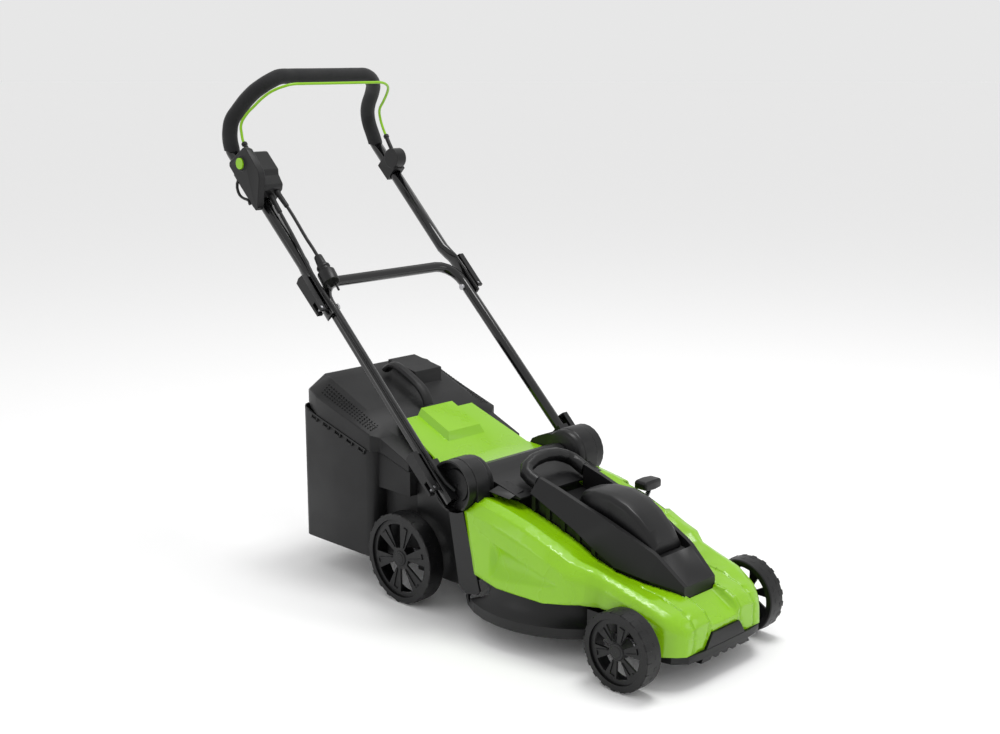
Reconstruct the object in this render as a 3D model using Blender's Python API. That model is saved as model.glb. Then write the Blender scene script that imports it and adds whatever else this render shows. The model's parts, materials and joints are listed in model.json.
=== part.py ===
"""Corded push lawn mower: deck, hood, four wheels, folding handle, grass box and blade drive.

Metres, +Z up. The mower's front points along -Y and the operator's right hand is on the -X side.
Sections below place everything from the rear axle line on the ground (y = 0, z = 0); one empty then
moves the whole mower so that its box stands centred on the origin.
"""
import math

import bmesh
import bpy
from mathutils import Matrix, Vector

# ---------------------------------------------------------------- driving dimensions (metres)
GAP = 0.0003                    # air left between two pieces that touch
RUN = 0.0003                    # radial play of a pin or shaft in its hole
BOX_CENTRE_Y = -0.056           # middle of the mower's length, from the rear axle

REAR_WHEEL_R = 0.089
FRONT_WHEEL_R = 0.0695
WHEEL_WIDTH = 0.038
WHEELBASE = 0.549
REAR_OUTER_X = 0.185            # outer face of a rear wheel
FRONT_OUTER_X = 0.1947          # outer face of a front wheel
TYRE_T = 0.0125
CAP_R = 0.014
CRANK_R = 0.045                 # swing axle: pivot bar to wheel centre
LINK_R = 0.030                  # swing axle: pivot bar to height link
LINK_PLAY = 0.0055              # room for the front pin to rise in the link's slot
BAR_R = 0.005
STUB_R = 0.005
PIN_R = 0.003

BLADE_Y = -0.285                # blade spindle, behind it is the rear axle
BLADE_R = 0.165
BLADE_Z = 0.0537
BLADE_T = 0.003
BLADE_W = 0.044
SHAFT_R = 0.006
SKIRT_R = 0.202                 # outer lip of the cutting chamber
SKIRT_Z = 0.040
LIP_H = 0.020
DECK_TOP = 0.118
DECK_WALL = 0.004
DECK_HALF = 0.134               # half width of the deck between the rear wheels
DECK_REAR_Y = 0.0
DECK_REAR_TOP = 0.232
NOSE_HALF = 0.1385              # half width of the deck between the front wheels
SIDE_X = 0.180                  # outer plane of the deck's sides behind the cover
TUNNEL_HALF = 0.098
TUNNEL_FLOOR = 0.106
TUNNEL_TOP = 0.222

COVER_WALL = 0.003
BUMPER_Y = -0.634
BUMPER_LOW = 0.036

BARREL_R = 0.050                # drums that the handle turns in
BARREL_IN_X = 0.115
BARREL_OUT_X = 0.165
PIVOT_Y = -0.147
PIVOT_Z = 0.265
HUB_R = 0.032
DISH_OUT_X = 0.1845              # outer edge of the dish that turns with the handle

HANDLE_ANGLE = 43.72            # handle's slope above the ground, degrees
CLAMP_Y = -0.120                # lower clamp bolt, where the handle's own length starts
CLAMP_Z = 0.259
TUBE_WALL = 0.0013
LEG_X = 0.181
LEG_R = 0.011
LEG_END_S = -0.036
CROSSBAR_S = 0.486
LEG_BEND_R = 0.050
FOLD_S = 0.4257                 # upper clamp bolt, measured along the handle
UPPER_X = 0.186                 # upper tube at its lower end; it widens to GRIP_X
GRIP_X = 0.191
UPPER_R = 0.0125
FLAT_X = 0.1955                 # flattened ends of the upper tube, outside the lower legs
FLAT_HALF = 0.0030
FLAT_TALL = 0.0145
GRIP_R = 0.0158
GRIP_S = 0.8389
LOWER_PIN_X = 0.2060
UPPER_PIN_X = 0.2105
CAM_LENGTH = 0.077

FLAP_HALF = 0.117
FLAP_T = 0.003
FLAP_AXIS_Y = -0.096
FLAP_AXIS_Z = 0.262
ROD_R = 0.003
KNUCKLE_R = 0.0065

BIN_HALF = 0.168
BIN_STEP_HALF = 0.150
BIN_NECK_HALF = 0.130
BIN_FRONT_Y = 0.003
BIN_STEP_Y = 0.095
BIN_REAR_Y = 0.312
BIN_LOW = 0.062
BIN_WALL = 0.0025
STEP_Z = 0.205
SEAM_Z = 0.2526                 # height of the box's seam at the rear axle
SEAM_SLOPE = 0.272
LID_RISE = 0.285
LID_SLOPE = 0.42
LID_PROUD = 0.003

LEVER_Y = -0.345
LEVER_Z = 0.135

LEAD_R = 0.0035
PIGTAIL_R = 0.00325
PLUG_R = 0.0180

FRONT_Y = -WHEELBASE
REAR_BAR_Y = -CRANK_R
FRONT_BAR_Y = FRONT_Y + CRANK_R

# ---------------------------------------------------------------- colours
GREEN = (0.365, 0.780, 0.010)
BLACK = (0.022, 0.022, 0.023)
DARK = (0.035, 0.035, 0.036)
FOAM = (0.028, 0.028, 0.028)
STEEL = (0.420, 0.420, 0.430)
COPPER = (0.480, 0.250, 0.150)


# ---------------------------------------------------------------- modelling helpers
def clear_scene():
    for item in list(bpy.data.objects):
        bpy.data.objects.remove(item, do_unlink=True)


def material(name, colour, roughness, metallic=0.0):
    shader = bpy.data.materials.new(name)
    shader.use_nodes = True
    principled = shader.node_tree.nodes["Principled BSDF"]
    principled.inputs["Base Color"].default_value = (*colour, 1.0)
    principled.inputs["Roughness"].default_value = roughness
    principled.inputs["Metallic"].default_value = metallic
    return shader


def place(axis, a, b, c):
    """A point with (a, b) across AXIS and c along it."""
    if axis == "X":
        return Vector((c, a, b))
    if axis == "Y":
        return Vector((a, c, b))
    return Vector((a, b, c))


def box(low, high):
    low, high = Vector(low), Vector(high)
    solid = bmesh.new()
    scale = Matrix.Diagonal((*(high - low), 1.0))
    bmesh.ops.create_cube(solid, size=1.0, matrix=Matrix.Translation((low + high) / 2) @ scale)
    return solid


def prism(outline, axis, start, end):
    """A flat outline pushed along AXIS from START to END."""
    solid = bmesh.new()
    corners = [solid.verts.new(place(axis, a, b, start)) for a, b in outline]
    face = solid.faces.new(corners)
    pushed = bmesh.ops.extrude_face_region(solid, geom=[face])["geom"]
    moved = [item for item in pushed if isinstance(item, bmesh.types.BMVert)]
    bmesh.ops.translate(solid, verts=moved, vec=place(axis, 0, 0, end - start))
    bmesh.ops.recalc_face_normals(solid, faces=solid.faces)
    return solid


def turned(profile, axis, centre, steps=24):
    """A closed (radius, height) profile turned all the way round AXIS through CENTRE."""
    solid = bmesh.new()
    points = [solid.verts.new((radius, 0.0, height)) for radius, height in profile]
    closed = profile[0][0] > 0 or profile[-1][0] > 0
    last = len(points) if closed else len(points) - 1
    edges = [solid.edges.new((points[i], points[(i + 1) % len(points)])) for i in range(last)]
    bmesh.ops.spin(solid, geom=points + edges, cent=(0, 0, 0), axis=(0, 0, 1), dvec=(0, 0, 0),
                   angle=math.tau, steps=steps, use_merge=True, use_normal_flip=False)
    bmesh.ops.remove_doubles(solid, verts=solid.verts, dist=1e-6)
    bmesh.ops.recalc_face_normals(solid, faces=solid.faces)
    direction = {"X": Vector((1, 0, 0)), "Y": Vector((0, 1, 0)), "Z": Vector((0, 0, 1))}
    heading = direction[axis] if isinstance(axis, str) else Vector(axis)
    turn = Vector((0, 0, 1)).rotation_difference(heading).to_matrix().to_4x4()
    bmesh.ops.transform(solid, matrix=Matrix.Translation(centre) @ turn, verts=solid.verts)
    return solid


def rod(axis, a, b, start, end, radius, steps=16):
    """A round bar along a world axis, through (a, b) across it."""
    profile = [(0, 0), (radius, 0), (radius, end - start), (0, end - start)]
    return turned(profile, axis, place(axis, a, b, start), steps)


def lofted(rings):
    """Rings of equal point count, joined in order, with flat ends."""
    solid = bmesh.new()
    loops = [[solid.verts.new(point) for point in ring] for ring in rings]
    count = len(loops[0])
    for near, far in zip(loops, loops[1:]):
        for i in range(count):
            j = (i + 1) % count
            solid.faces.new((near[i], near[j], far[j], far[i]))
    bmesh.ops.triangulate(solid, faces=solid.faces)
    solid.faces.new(loops[0])
    solid.faces.new(loops[-1])
    bmesh.ops.recalc_face_normals(solid, faces=solid.faces)
    return solid


def in_scene(shape, name):
    """SHAPE as a passing object of the scene."""
    mesh = bpy.data.meshes.new(name)
    shape.to_mesh(mesh)
    shape.free()
    item = bpy.data.objects.new(name, mesh)
    bpy.context.collection.objects.link(item)
    return item


def combined(shape, tools, operation):
    """SHAPE joined to, or cut by, each of TOOLS in turn with exact booleans."""
    for tool in tools:
        target, cutter = in_scene(shape, "target"), in_scene(tool, "cutter")
        step = target.modifiers.new("combine", "BOOLEAN")
        step.operation = operation
        step.solver = "EXACT"
        step.object = cutter
        bpy.context.view_layer.update()
        graph = bpy.context.evaluated_depsgraph_get()
        shape = bmesh.new()
        shape.from_mesh(target.evaluated_get(graph).to_mesh())
        for item in (target, cutter):
            data = item.data
            bpy.data.objects.remove(item, do_unlink=True)
            bpy.data.meshes.remove(data)
        bmesh.ops.remove_doubles(shape, verts=shape.verts, dist=1e-6)
        bmesh.ops.dissolve_degenerate(shape, edges=shape.edges, dist=1e-6)
    return shape


def joined(shape, *tools):
    return combined(shape, tools, "UNION")


def cut(shape, *tools):
    return combined(shape, tools, "DIFFERENCE")


def mirrored(shape):
    """A copy of SHAPE on the other side of the mower's middle plane."""
    other = shape.copy()
    for vertex in other.verts:
        vertex.co.x = -vertex.co.x
    bmesh.ops.reverse_faces(other, faces=other.faces)
    return other


def both(shape):
    """The shape and its mirror image, as two tools."""
    return shape, mirrored(shape)


def table(rows, at, column):
    """A value read off rows that start with y, running from the rear to the front."""
    if at >= rows[0][0]:
        return rows[0][column]
    for near, far in zip(rows, rows[1:]):
        if at >= far[0]:
            share = (near[0] - at) / (near[0] - far[0])
            return near[column] + share * (far[column] - near[column])
    return rows[-1][column]


def smooth(points, spacing):
    """Evenly spaced points on a Catmull-Rom curve through POINTS."""
    points = [Vector(point) for point in points]
    first = 2 * points[0] - points[1]
    last = 2 * points[-1] - points[-2]
    posts = [first, *points, last]
    fine = []
    for i in range(1, len(posts) - 2):
        before, start, end, after = posts[i - 1:i + 3]
        for step in range(24):
            t = step / 24
            fine.append(0.5 * (2 * start + (end - before) * t
                               + (2 * before - 5 * start + 4 * end - after) * t ** 2
                               + (3 * start - before - 3 * end + after) * t ** 3))
    fine.append(points[-1])
    lengths = [0.0]
    for near, far in zip(fine, fine[1:]):
        lengths.append(lengths[-1] + (far - near).length)
    count = max(2, round(lengths[-1] / spacing))
    even, i = [], 0
    for step in range(count + 1):
        goal = lengths[-1] * step / count
        while i < len(fine) - 2 and lengths[i + 1] < goal:
            i += 1
        share = (goal - lengths[i]) / max(1e-9, lengths[i + 1] - lengths[i])
        even.append(fine[i].lerp(fine[i + 1], min(1.0, share)))
    return even


def ring_at(centre, across, up, half_a, half_b, sides):
    """An oval of SIDES points round CENTRE."""
    ring = []
    for i in range(sides):
        angle = math.tau * (i + 0.5) / sides
        ring.append(centre + across * half_a * math.cos(angle) + up * half_b * math.sin(angle))
    return ring


def frames(path, across):
    """The across and up directions at each point of PATH, carried along without twist."""
    result = []
    for i, point in enumerate(path):
        ahead = path[min(i + 1, len(path) - 1)] - path[max(i - 1, 0)]
        ahead.normalize()
        across = (across - ahead * across.dot(ahead)).normalized()
        result.append((across.copy(), across.cross(ahead).normalized()))
    return result


def swept(path, half_a, half_b, across=Vector((1, 0, 0)), sides=10):
    """A solid bar of oval section along PATH."""
    path = [Vector(point) for point in path]
    rings = [ring_at(point, a, u, half_a, half_b, sides)
             for point, (a, u) in zip(path, frames(path, across))]
    return lofted(rings)


def tube_loop(half_path, sizes, wall, sides=10, first=0):
    """A hollow tube with open ends: HALF_PATH runs from its +X end to the middle plane.

    FIRST leaves out the path's first points once they have set the way the rings lie.
    """
    half_frames = frames(half_path, Vector((1, 0, 0)))
    shells = []
    for inset in (0.0, wall):
        rings = [ring_at(point, a, u, size[0] - inset, size[1] - inset, sides)
                 for point, (a, u), size in zip(half_path, half_frames, sizes)]
        rings[-1] = [Vector((0.0, point.y, point.z)) for point in rings[-1]]
        rings = rings[first:]
        far = [[Vector((-p.x, p.y, p.z)) for p in ring] for ring in reversed(rings[:-1])]
        shells.append(rings + far)
    solid = bmesh.new()
    outer, inner = [[[solid.verts.new(p) for p in ring] for ring in shell] for shell in shells]
    for shell in (outer, inner):
        for near, far in zip(shell, shell[1:]):
            for i in range(sides):
                j = (i + 1) % sides
                solid.faces.new((near[i], near[j], far[j], far[i]))
    for end in (0, -1):
        for i in range(sides):
            j = (i + 1) % sides
            solid.faces.new((outer[end][i], outer[end][j], inner[end][j], inner[end][i]))
    bmesh.ops.recalc_face_normals(solid, faces=solid.faces)
    return solid


# ---------------------------------------------------------------- the mower and its pieces
clear_scene()
mower = bpy.data.objects.new("mower_frame", None)
mower.location = (0.0, -BOX_CENTRE_Y, 0.0)
bpy.context.collection.objects.link(mower)


def piece(name, shape, colour, roughness=0.45, metallic=0.0, origin=(0, 0, 0)):
    """Makes the named object of SHAPE, with its origin on the axis that it moves about."""
    origin = Vector(origin)
    bmesh.ops.translate(shape, verts=shape.verts, vec=-origin)
    mesh = bpy.data.meshes.new(name)
    shape.to_mesh(mesh)
    shape.free()
    mesh.shade_smooth()
    mesh.set_sharp_from_angle(angle=math.radians(35))
    item = bpy.data.objects.new(name, mesh)
    item.location = origin
    item.parent = mower
    mesh.materials.append(material(name, colour, roughness, metallic))
    bpy.context.collection.objects.link(item)
    return item


SLOPE = math.radians(HANDLE_ANGLE)
CLAMP = Vector((0, CLAMP_Y, CLAMP_Z))
ALONG = Vector((0, math.cos(SLOPE), math.sin(SLOPE)))
FACING = Vector((0, -math.sin(SLOPE), math.cos(SLOPE)))


def on_handle(x, s, n=0.0):
    """A point X from the middle, S up the handle from the lower clamp and N in front of it."""
    return Vector((x, 0, 0)) + CLAMP + ALONG * s + FACING * n


def handle_prism(outline, start_x, end_x):
    """An outline of (s, n) points pushed along X."""
    flat = [(on_handle(0, s, n).y, on_handle(0, s, n).z) for s, n in outline]
    return prism(flat, "X", start_x, end_x)


def handle_rod(s, n, start_x, end_x, radius, steps=16):
    centre = on_handle(0, s, n)
    return rod("X", centre.y, centre.z, start_x, end_x, radius, steps)


# ---------------------------------------------------------------- deck
COVER_REAR_TOP = (-0.166, 0.250)     # slanted rear edge of the green cover, as (y, z)
COVER_REAR_LOW = (-0.2135, 0.090)


def behind_cover(z):
    """The y of the cover's slanted rear edge at height Z."""
    (top_y, top_z), (low_y, low_z) = COVER_REAR_TOP, COVER_REAR_LOW
    return low_y + (z - low_z) * (top_y - low_y) / (top_z - low_z)


def build_deck():
    lip_top = SKIRT_Z + LIP_H
    under = DECK_TOP - DECK_WALL
    bowl = [(0.020, DECK_TOP), (SKIRT_R - 0.040, DECK_TOP), (SKIRT_R - 0.028, 0.112),
            (SKIRT_R - 0.0235, 0.098), (SKIRT_R - 0.020, 0.083), (SKIRT_R - 0.013, 0.070),
            (SKIRT_R - 0.004, lip_top + 0.002), (SKIRT_R, lip_top - 0.001), (SKIRT_R, SKIRT_Z),
            (SKIRT_R - 0.004, SKIRT_Z), (SKIRT_R - 0.004, lip_top - 0.004),
            (SKIRT_R - 0.017, 0.067), (SKIRT_R - 0.024, 0.081), (SKIRT_R - 0.028, 0.098),
            (SKIRT_R - 0.033, 0.109), (SKIRT_R - 0.044, under), (0.020, under)]
    chamber = [(0, SKIRT_Z - 0.01), (SKIRT_R - 0.0045, SKIRT_Z - 0.01), (SKIRT_R - 0.0045, 0.055),
               (SKIRT_R - 0.018, 0.0665), (SKIRT_R - 0.0245, 0.081), (SKIRT_R - 0.0285, 0.098),
               (SKIRT_R - 0.0335, 0.1085), (SKIRT_R - 0.0445, under - 0.0005), (0, under - 0.0005)]
    deck = turned(bowl, "Z", (0, BLADE_Y, 0), 32)

    rear = box((-DECK_HALF, -0.205, 0.055), (DECK_HALF, DECK_REAR_Y, DECK_REAR_TOP))
    nose = prism([(-NOSE_HALF, FRONT_Y + 0.110), (-NOSE_HALF, FRONT_Y - 0.012), (-0.106, FRONT_Y - 0.060),
                  (0.106, FRONT_Y - 0.060), (NOSE_HALF, FRONT_Y - 0.012), (NOSE_HALF, FRONT_Y + 0.110)],
                 "Z", 0.060, 0.099)
    inner_side = [(-0.133, DECK_REAR_TOP), (-0.162, 0.077), (-0.180, 0.066), (-0.225, 0.075),
                  (-0.225, 0.110), (-0.195, DECK_REAR_TOP)]
    edge_top = behind_cover(DECK_REAR_TOP) + GAP
    outer_side = [(-0.1337, DECK_REAR_TOP - 0.0008), (-0.1628, 0.0778), (-0.1808, 0.0670), (-0.2095, 0.0725),
                  (behind_cover(0.080) + GAP, 0.080), (edge_top, DECK_REAR_TOP - 0.0008)]
    tucked = SIDE_X - 0.018
    walls = (*both(prism(inner_side, "X", 0.128, tucked)), *both(prism(outer_side, "X", 0.1505, SIDE_X)))
    lever_lug = box((0.1335, LEVER_Y - 0.012, DECK_TOP - 0.003), (0.1385, LEVER_Y + 0.012, LEVER_Z + 0.010))
    deck = joined(deck, rear, nose, *walls, lever_lug)

    side_room = [(-0.1385, 0.228), (-0.166, 0.079), (-0.180, 0.050), (-0.235, 0.050), (-0.235, 0.228)]
    tunnel = [(-0.270, 0.030), (-0.270, under - 0.001), (-0.185, under - 0.001), (-0.150, 0.200),
              (-0.130, TUNNEL_TOP), (0.010, TUNNEL_TOP), (0.010, TUNNEL_FLOOR), (-0.085, TUNNEL_FLOOR),
              (-0.118, 0.030)]
    rear_room = box((-DECK_HALF + DECK_WALL, -0.080, 0.050), (DECK_HALF - DECK_WALL, -0.004, 0.102))
    nose_in = NOSE_HALF - DECK_WALL
    nose_room = prism([(-nose_in, BLADE_Y - SKIRT_R - 0.002), (-nose_in, FRONT_Y - 0.011), (-0.104, FRONT_Y - 0.056),
                       (0.104, FRONT_Y - 0.056), (nose_in, FRONT_Y - 0.011), (nose_in, BLADE_Y - SKIRT_R - 0.002)],
                      "Z", 0.050, 0.095)
    link_way = box((0.1385, -0.245, 0.098), (0.1445, -0.120, 0.165))
    rear_hole = rod("X", REAR_BAR_Y, REAR_WHEEL_R, -0.2, 0.2, BAR_R + RUN)
    front_hole = rod("X", FRONT_BAR_Y, FRONT_WHEEL_R, -0.2, 0.2, BAR_R + RUN)
    lever_hole = rod("X", LEVER_Y, LEVER_Z, 0.130, 0.142, 0.004 + RUN)
    drums = both(rod("X", PIVOT_Y, PIVOT_Z, BARREL_IN_X - 0.002, 0.19, BARREL_R + GAP, 24))
    drip = box((-0.2, -0.75, -0.1), (0.2, 0.2, SKIRT_Z))
    return cut(deck, turned(chamber, "Z", (0, BLADE_Y, 0), 32), *both(prism(side_room, "X", 0.134, 0.176)),
               prism(tunnel, "X", -TUNNEL_HALF, TUNNEL_HALF), rear_room, nose_room, link_way, rear_hole,
               front_hole, lever_hole, *drums, drip)


piece("deck", build_deck(), BLACK, 0.5)


# ---------------------------------------------------------------- green cover
def cover_rows():
    """Half sections of the cover: y, then (x, z) from the middle out to the bottom of the side."""
    front, blade = FRONT_Y, BLADE_Y
    return [
        (blade + 0.125, (0.036, 0.246), (0.042, 0.246), (0.100, 0.246), (0.148, 0.254), (0.166, 0.247),
         (0.177, 0.227), (0.1835, 0.105)),
        (blade + 0.035, (0.036, 0.226), (0.042, 0.226), (0.100, 0.226), (0.148, 0.239), (0.166, 0.233),
         (0.178, 0.212), (0.1860, 0.100)),
        (blade - 0.025, (0.036, 0.210), (0.042, 0.210), (0.100, 0.210), (0.147, 0.225), (0.166, 0.220),
         (0.178, 0.198), (0.1860, 0.100)),
        (blade - 0.085, (0.036, 0.191), (0.042, 0.191), (0.100, 0.191), (0.145, 0.204), (0.164, 0.200),
         (0.176, 0.179), (0.1840, 0.101)),
        (front + 0.130, (0.036, 0.167), (0.042, 0.167), (0.092, 0.167), (0.142, 0.184), (0.159, 0.181),
         (0.172, 0.161), (0.1780, 0.106)),
        (front + 0.095, (0.036, 0.154), (0.042, 0.154), (0.085, 0.154), (0.136, 0.176), (0.151, 0.174),
         (0.161, 0.156), (0.1670, 0.114)),
        (front + 0.072, (0.036, 0.149), (0.042, 0.149), (0.080, 0.149), (0.127, 0.165), (0.138, 0.161),
         (0.146, 0.147), (0.1510, 0.112)),
        (front + 0.038, (0.036, 0.143), (0.042, 0.143), (0.075, 0.144), (0.124, 0.156), (0.136, 0.151),
         (0.145, 0.138), (0.1490, 0.064)),
        (front - 0.012, (0.036, 0.134), (0.042, 0.136), (0.070, 0.137), (0.118, 0.142), (0.132, 0.138),
         (0.142, 0.126), (0.1470, 0.060)),
        (front - 0.051, (0.036, 0.112), (0.042, 0.128), (0.070, 0.127), (0.110, 0.125), (0.123, 0.119),
         (0.130, 0.108), (0.1330, 0.058)),
        (front - 0.069, (0.036, 0.102), (0.042, 0.119), (0.070, 0.118), (0.098, 0.114), (0.109, 0.109),
         (0.115, 0.099), (0.1180, 0.058)),
        (front - 0.080, (0.036, 0.094), (0.042, 0.104), (0.070, 0.103), (0.088, 0.099), (0.097, 0.094),
         (0.102, 0.087), (0.1040, 0.058)),
    ]


HOOD_FOOT = [(0.0848, BLADE_Y + 0.1), (0.0848, BLADE_Y - 0.080), (0.0828, FRONT_Y + 0.139), (0.0768, FRONT_Y + 0.099),
             (0.0648, FRONT_Y + 0.038), (0.0438, FRONT_Y - 0.0257)]


def cover_z(y):
    """Height of the cover's flat floor beside the hood."""
    return table([(row[0], row[3][1]) for row in cover_rows()], y, 1)


def foot_outline(extra):
    """Plan outline of the hood's foot, widened by EXTRA, as (x, y) points."""
    right = [(x + extra, y - (extra if i == len(HOOD_FOOT) - 1 else 0)) for i, (x, y) in enumerate(HOOD_FOOT)]
    return right + [(-x, y) for x, y in reversed(right)]


def cover_ring(row, wall):
    """One section of the cover, or of its hollow when WALL is above zero, closed far below."""
    y, *half = row
    right = [(x - wall * (0.0 if i < 2 else 1.0), z - wall) for i, (x, z) in enumerate(half)]
    right[-1] = (half[-1][0] - wall, half[-1][1])
    right.append((half[-1][0] - wall, 0.0575 - wall))
    return [Vector((x, y, z)) for x, z in right] + [Vector((-x, y, z)) for x, z in reversed(right)]


def build_cover():
    rows = cover_rows()
    hollow = [cover_ring(row, COVER_WALL) for row in rows]
    for point in hollow[-1]:
        point.y += COVER_WALL
    for point in hollow[0]:
        point.y += 0.01
    shell = cut(lofted([cover_ring(row, 0.0) for row in rows]), lofted(hollow))
    hole = prism(foot_outline(0.0006), "Z", 0.05, 0.40)
    rear = prism([(0.0, 0.0), (0.0, 0.4), (behind_cover(0.4), 0.4), (behind_cover(0.0), 0.0)], "X", -0.3, 0.3)
    low_edge = prism([(-0.1, 0.0), (-0.1, 0.1), (behind_cover(0.113), 0.113), (BLADE_Y + 0.02, 0.102),
                      (BLADE_Y - 0.09, 0.104), (FRONT_Y + 0.100, 0.117), (FRONT_Y + 0.040, 0.113),
                      (FRONT_Y + 0.040, 0.0)], "X", -0.3, 0.3)
    arch = rod("X", FRONT_Y + 0.022, FRONT_WHEEL_R, -0.2, 0.2, 0.056, 32)
    drums = both(rod("X", PIVOT_Y, PIVOT_Z, BARREL_IN_X - 0.003, 0.19, BARREL_R + 0.0006, 24))
    foot_front = PIVOT_Y - BARREL_R - 0.0006
    drum_foot = both(box((BARREL_IN_X - 0.003, foot_front, 0.2), (BARREL_OUT_X + 0.0006, PIVOT_Y, 0.30)))
    notch = prism([(-0.0575, 0.05), (-0.0575, 0.0567), (-0.0393, 0.0826), (0.0393, 0.0826), (0.0575, 0.0567),
                   (0.0575, 0.05)], "Y", FRONT_Y - 0.2, FRONT_Y - 0.060)
    slot = box((0.1465, LEVER_Y - 0.034, 0.170), (0.171, LEVER_Y + 0.070, 0.26))
    return cut(shell, hole, rear, low_edge, arch, *drums, *drum_foot, notch, slot)


piece("deck_cover", build_cover(), GREEN, 0.3)


def build_bumper():
    front = BUMPER_Y
    outline = [(-0.128, front + 0.055), (-0.122, front + 0.024), (-0.100, front + 0.004), (-0.070, front),
               (0.070, front), (0.100, front + 0.004), (0.122, front + 0.024), (0.128, front + 0.055),
               (0.120, front + 0.055), (0.100, front + 0.026), (-0.100, front + 0.026),
               (-0.120, front + 0.055)]
    bar = prism(outline, "Z", 0.044, 0.0570)
    raised = prism([(-0.070, BUMPER_LOW), (-0.056, 0.0570 - 0.001), (-0.0385, 0.082), (0.0385, 0.082),
                    (0.056, 0.0570 - 0.001), (0.070, BUMPER_LOW)], "Y", front + 0.001, front + 0.016)
    step = box((-0.062, front + 0.012, 0.044), (0.062, front + 0.030, 0.056))
    bar = joined(bar, raised, step)
    waves = [rod("Y", x, BUMPER_LOW - 0.003, front - 0.01, front + 0.03, 0.008, 12)
             for x in (-0.036, -0.012, 0.012, 0.036)]
    shell = box((-0.16, front + 0.0265, 0.0), (0.16, front + 0.0700, 0.0435))
    return cut(bar, *waves, shell)


piece("front_bumper", build_bumper(), BLACK, 0.5)

# ---------------------------------------------------------------- hood
# y, rail top x, rail top z, lower edge x, lower edge z, foot x, recess floor z
HOOD = [
    (BLADE_Y + 0.030, 0.066, 0.280, 0.0885, 0.256, 0.080, 0.236),
    (BLADE_Y - 0.015, 0.065, 0.268, 0.0895, 0.238, 0.084, 0.226),
    (BLADE_Y - 0.080, 0.063, 0.248, 0.0900, 0.211, 0.084, 0.214),
    (FRONT_Y + 0.139, 0.062, 0.236, 0.0890, 0.186, 0.082, 0.203),
    (FRONT_Y + 0.099, 0.060, 0.222, 0.0810, 0.162, 0.076, 0.193),
    (FRONT_Y + 0.038, 0.052, 0.196, 0.0680, 0.151, 0.0640, 0.182),
    (FRONT_Y + 0.028, 0.051, 0.190, 0.0660, 0.150, 0.0620, 0.188),
    (FRONT_Y - 0.025, 0.043, 0.148, 0.0440, 0.139, 0.0430, 0.1475),
]
RAIL_W = 0.009
HOOD_WALL = 0.0022


def floor_z(y):
    return table(HOOD, y, 6)


def hood_ring(row, wall):
    """One section of the hood, or of its hollow when WALL is above zero."""
    y, top_x, top_z, low_x, low_z, foot_x, floor = row
    if wall:
        inside = foot_x - wall
        ceiling = floor - wall
        half = [(inside - 0.011, ceiling), (inside, min(ceiling - 0.001, low_z - 0.008)), (inside, 0.050)]
    else:
        rail = min(RAIL_W, top_x - 0.034)
        half = [(top_x - rail - 0.002, floor), (top_x - rail, top_z), (top_x, top_z), (low_x, low_z),
                (foot_x, low_z - 0.006), (foot_x, low_z - 0.030)]
    return [Vector((x, y, z)) for x, z in half] + [Vector((-x, y, z)) for x, z in reversed(half)]


def build_hood():
    hollow = [hood_ring(row, HOOD_WALL) for row in HOOD]
    for point in hollow[-1]:
        point.y += HOOD_WALL
    for point in hollow[0]:
        point.y += 0.01
    ribs = []
    for i in range(5):
        y = BLADE_Y + 0.022 - i * 0.036
        top, foot = table(HOOD, y, 4), cover_z(y + 0.0045) + GAP
        ribs.extend(both(box((0.0800, y - 0.0045, foot), (0.0880, y + 0.0045, top - 0.001))))
    return joined(cut(lofted([hood_ring(row, 0) for row in HOOD]), lofted(hollow)), *ribs)


piece("motor_cover", build_hood(), DARK, 0.42)


def build_cap():
    # y, half width at the foot, half width at the crown, crown z
    rows = [(BLADE_Y - 0.037, 0.038, 0.026, 0.256), (BLADE_Y - 0.048, 0.041, 0.032, 0.266),
            (BLADE_Y - 0.075, 0.043, 0.035, 0.2725), (BLADE_Y - 0.115, 0.043, 0.036, 0.2725),
            (BLADE_Y - 0.150, 0.043, 0.036, 0.263), (FRONT_Y + 0.086, 0.042, 0.035, 0.247),
            (FRONT_Y + 0.062, 0.040, 0.033, 0.226), (FRONT_Y + 0.046, 0.038, 0.031, 0.206)]
    rings = []
    for y, foot, crown, top in rows:
        base = floor_z(y) + 0.0006
        half = [(foot, base), (foot, base + 0.3 * (top - base)), (crown + 0.003, top - 0.010),
                (crown - 0.004, top - 0.002), (crown * 0.4, top)]
        rings.append([Vector((x, y, z)) for x, z in half] + [Vector((-x, y, z)) for x, z in reversed(half)])
    return lofted(rings)


piece("hood_cap", build_cap(), DARK, 0.35)


def build_bow():
    rear = BLADE_Y + 0.0303
    half = [(0.064, rear + GAP, 0.267), (0.066, rear + 0.018, 0.274), (0.064, rear + 0.032, 0.281),
            (0.053, rear + 0.042, 0.288), (0.030, rear + 0.046, 0.296), (0.0, rear + 0.047, 0.299)]
    path = [Vector(p) for p in half]
    path += [Vector((-p.x, p.y, p.z)) for p in reversed(path[:-1])]
    path[0].y = path[-1].y = rear
    return swept(path, 0.0125, 0.0135, sides=12)


bow = build_bow()
bow = cut(bow, box((-0.12, BLADE_Y - 0.1, 0.2), (0.12, BLADE_Y + 0.0303, 0.4)))
piece("carry_bow", bow, DARK, 0.4)


# ---------------------------------------------------------------- hinge cover, drums and flap
LUG_R = 0.008


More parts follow.
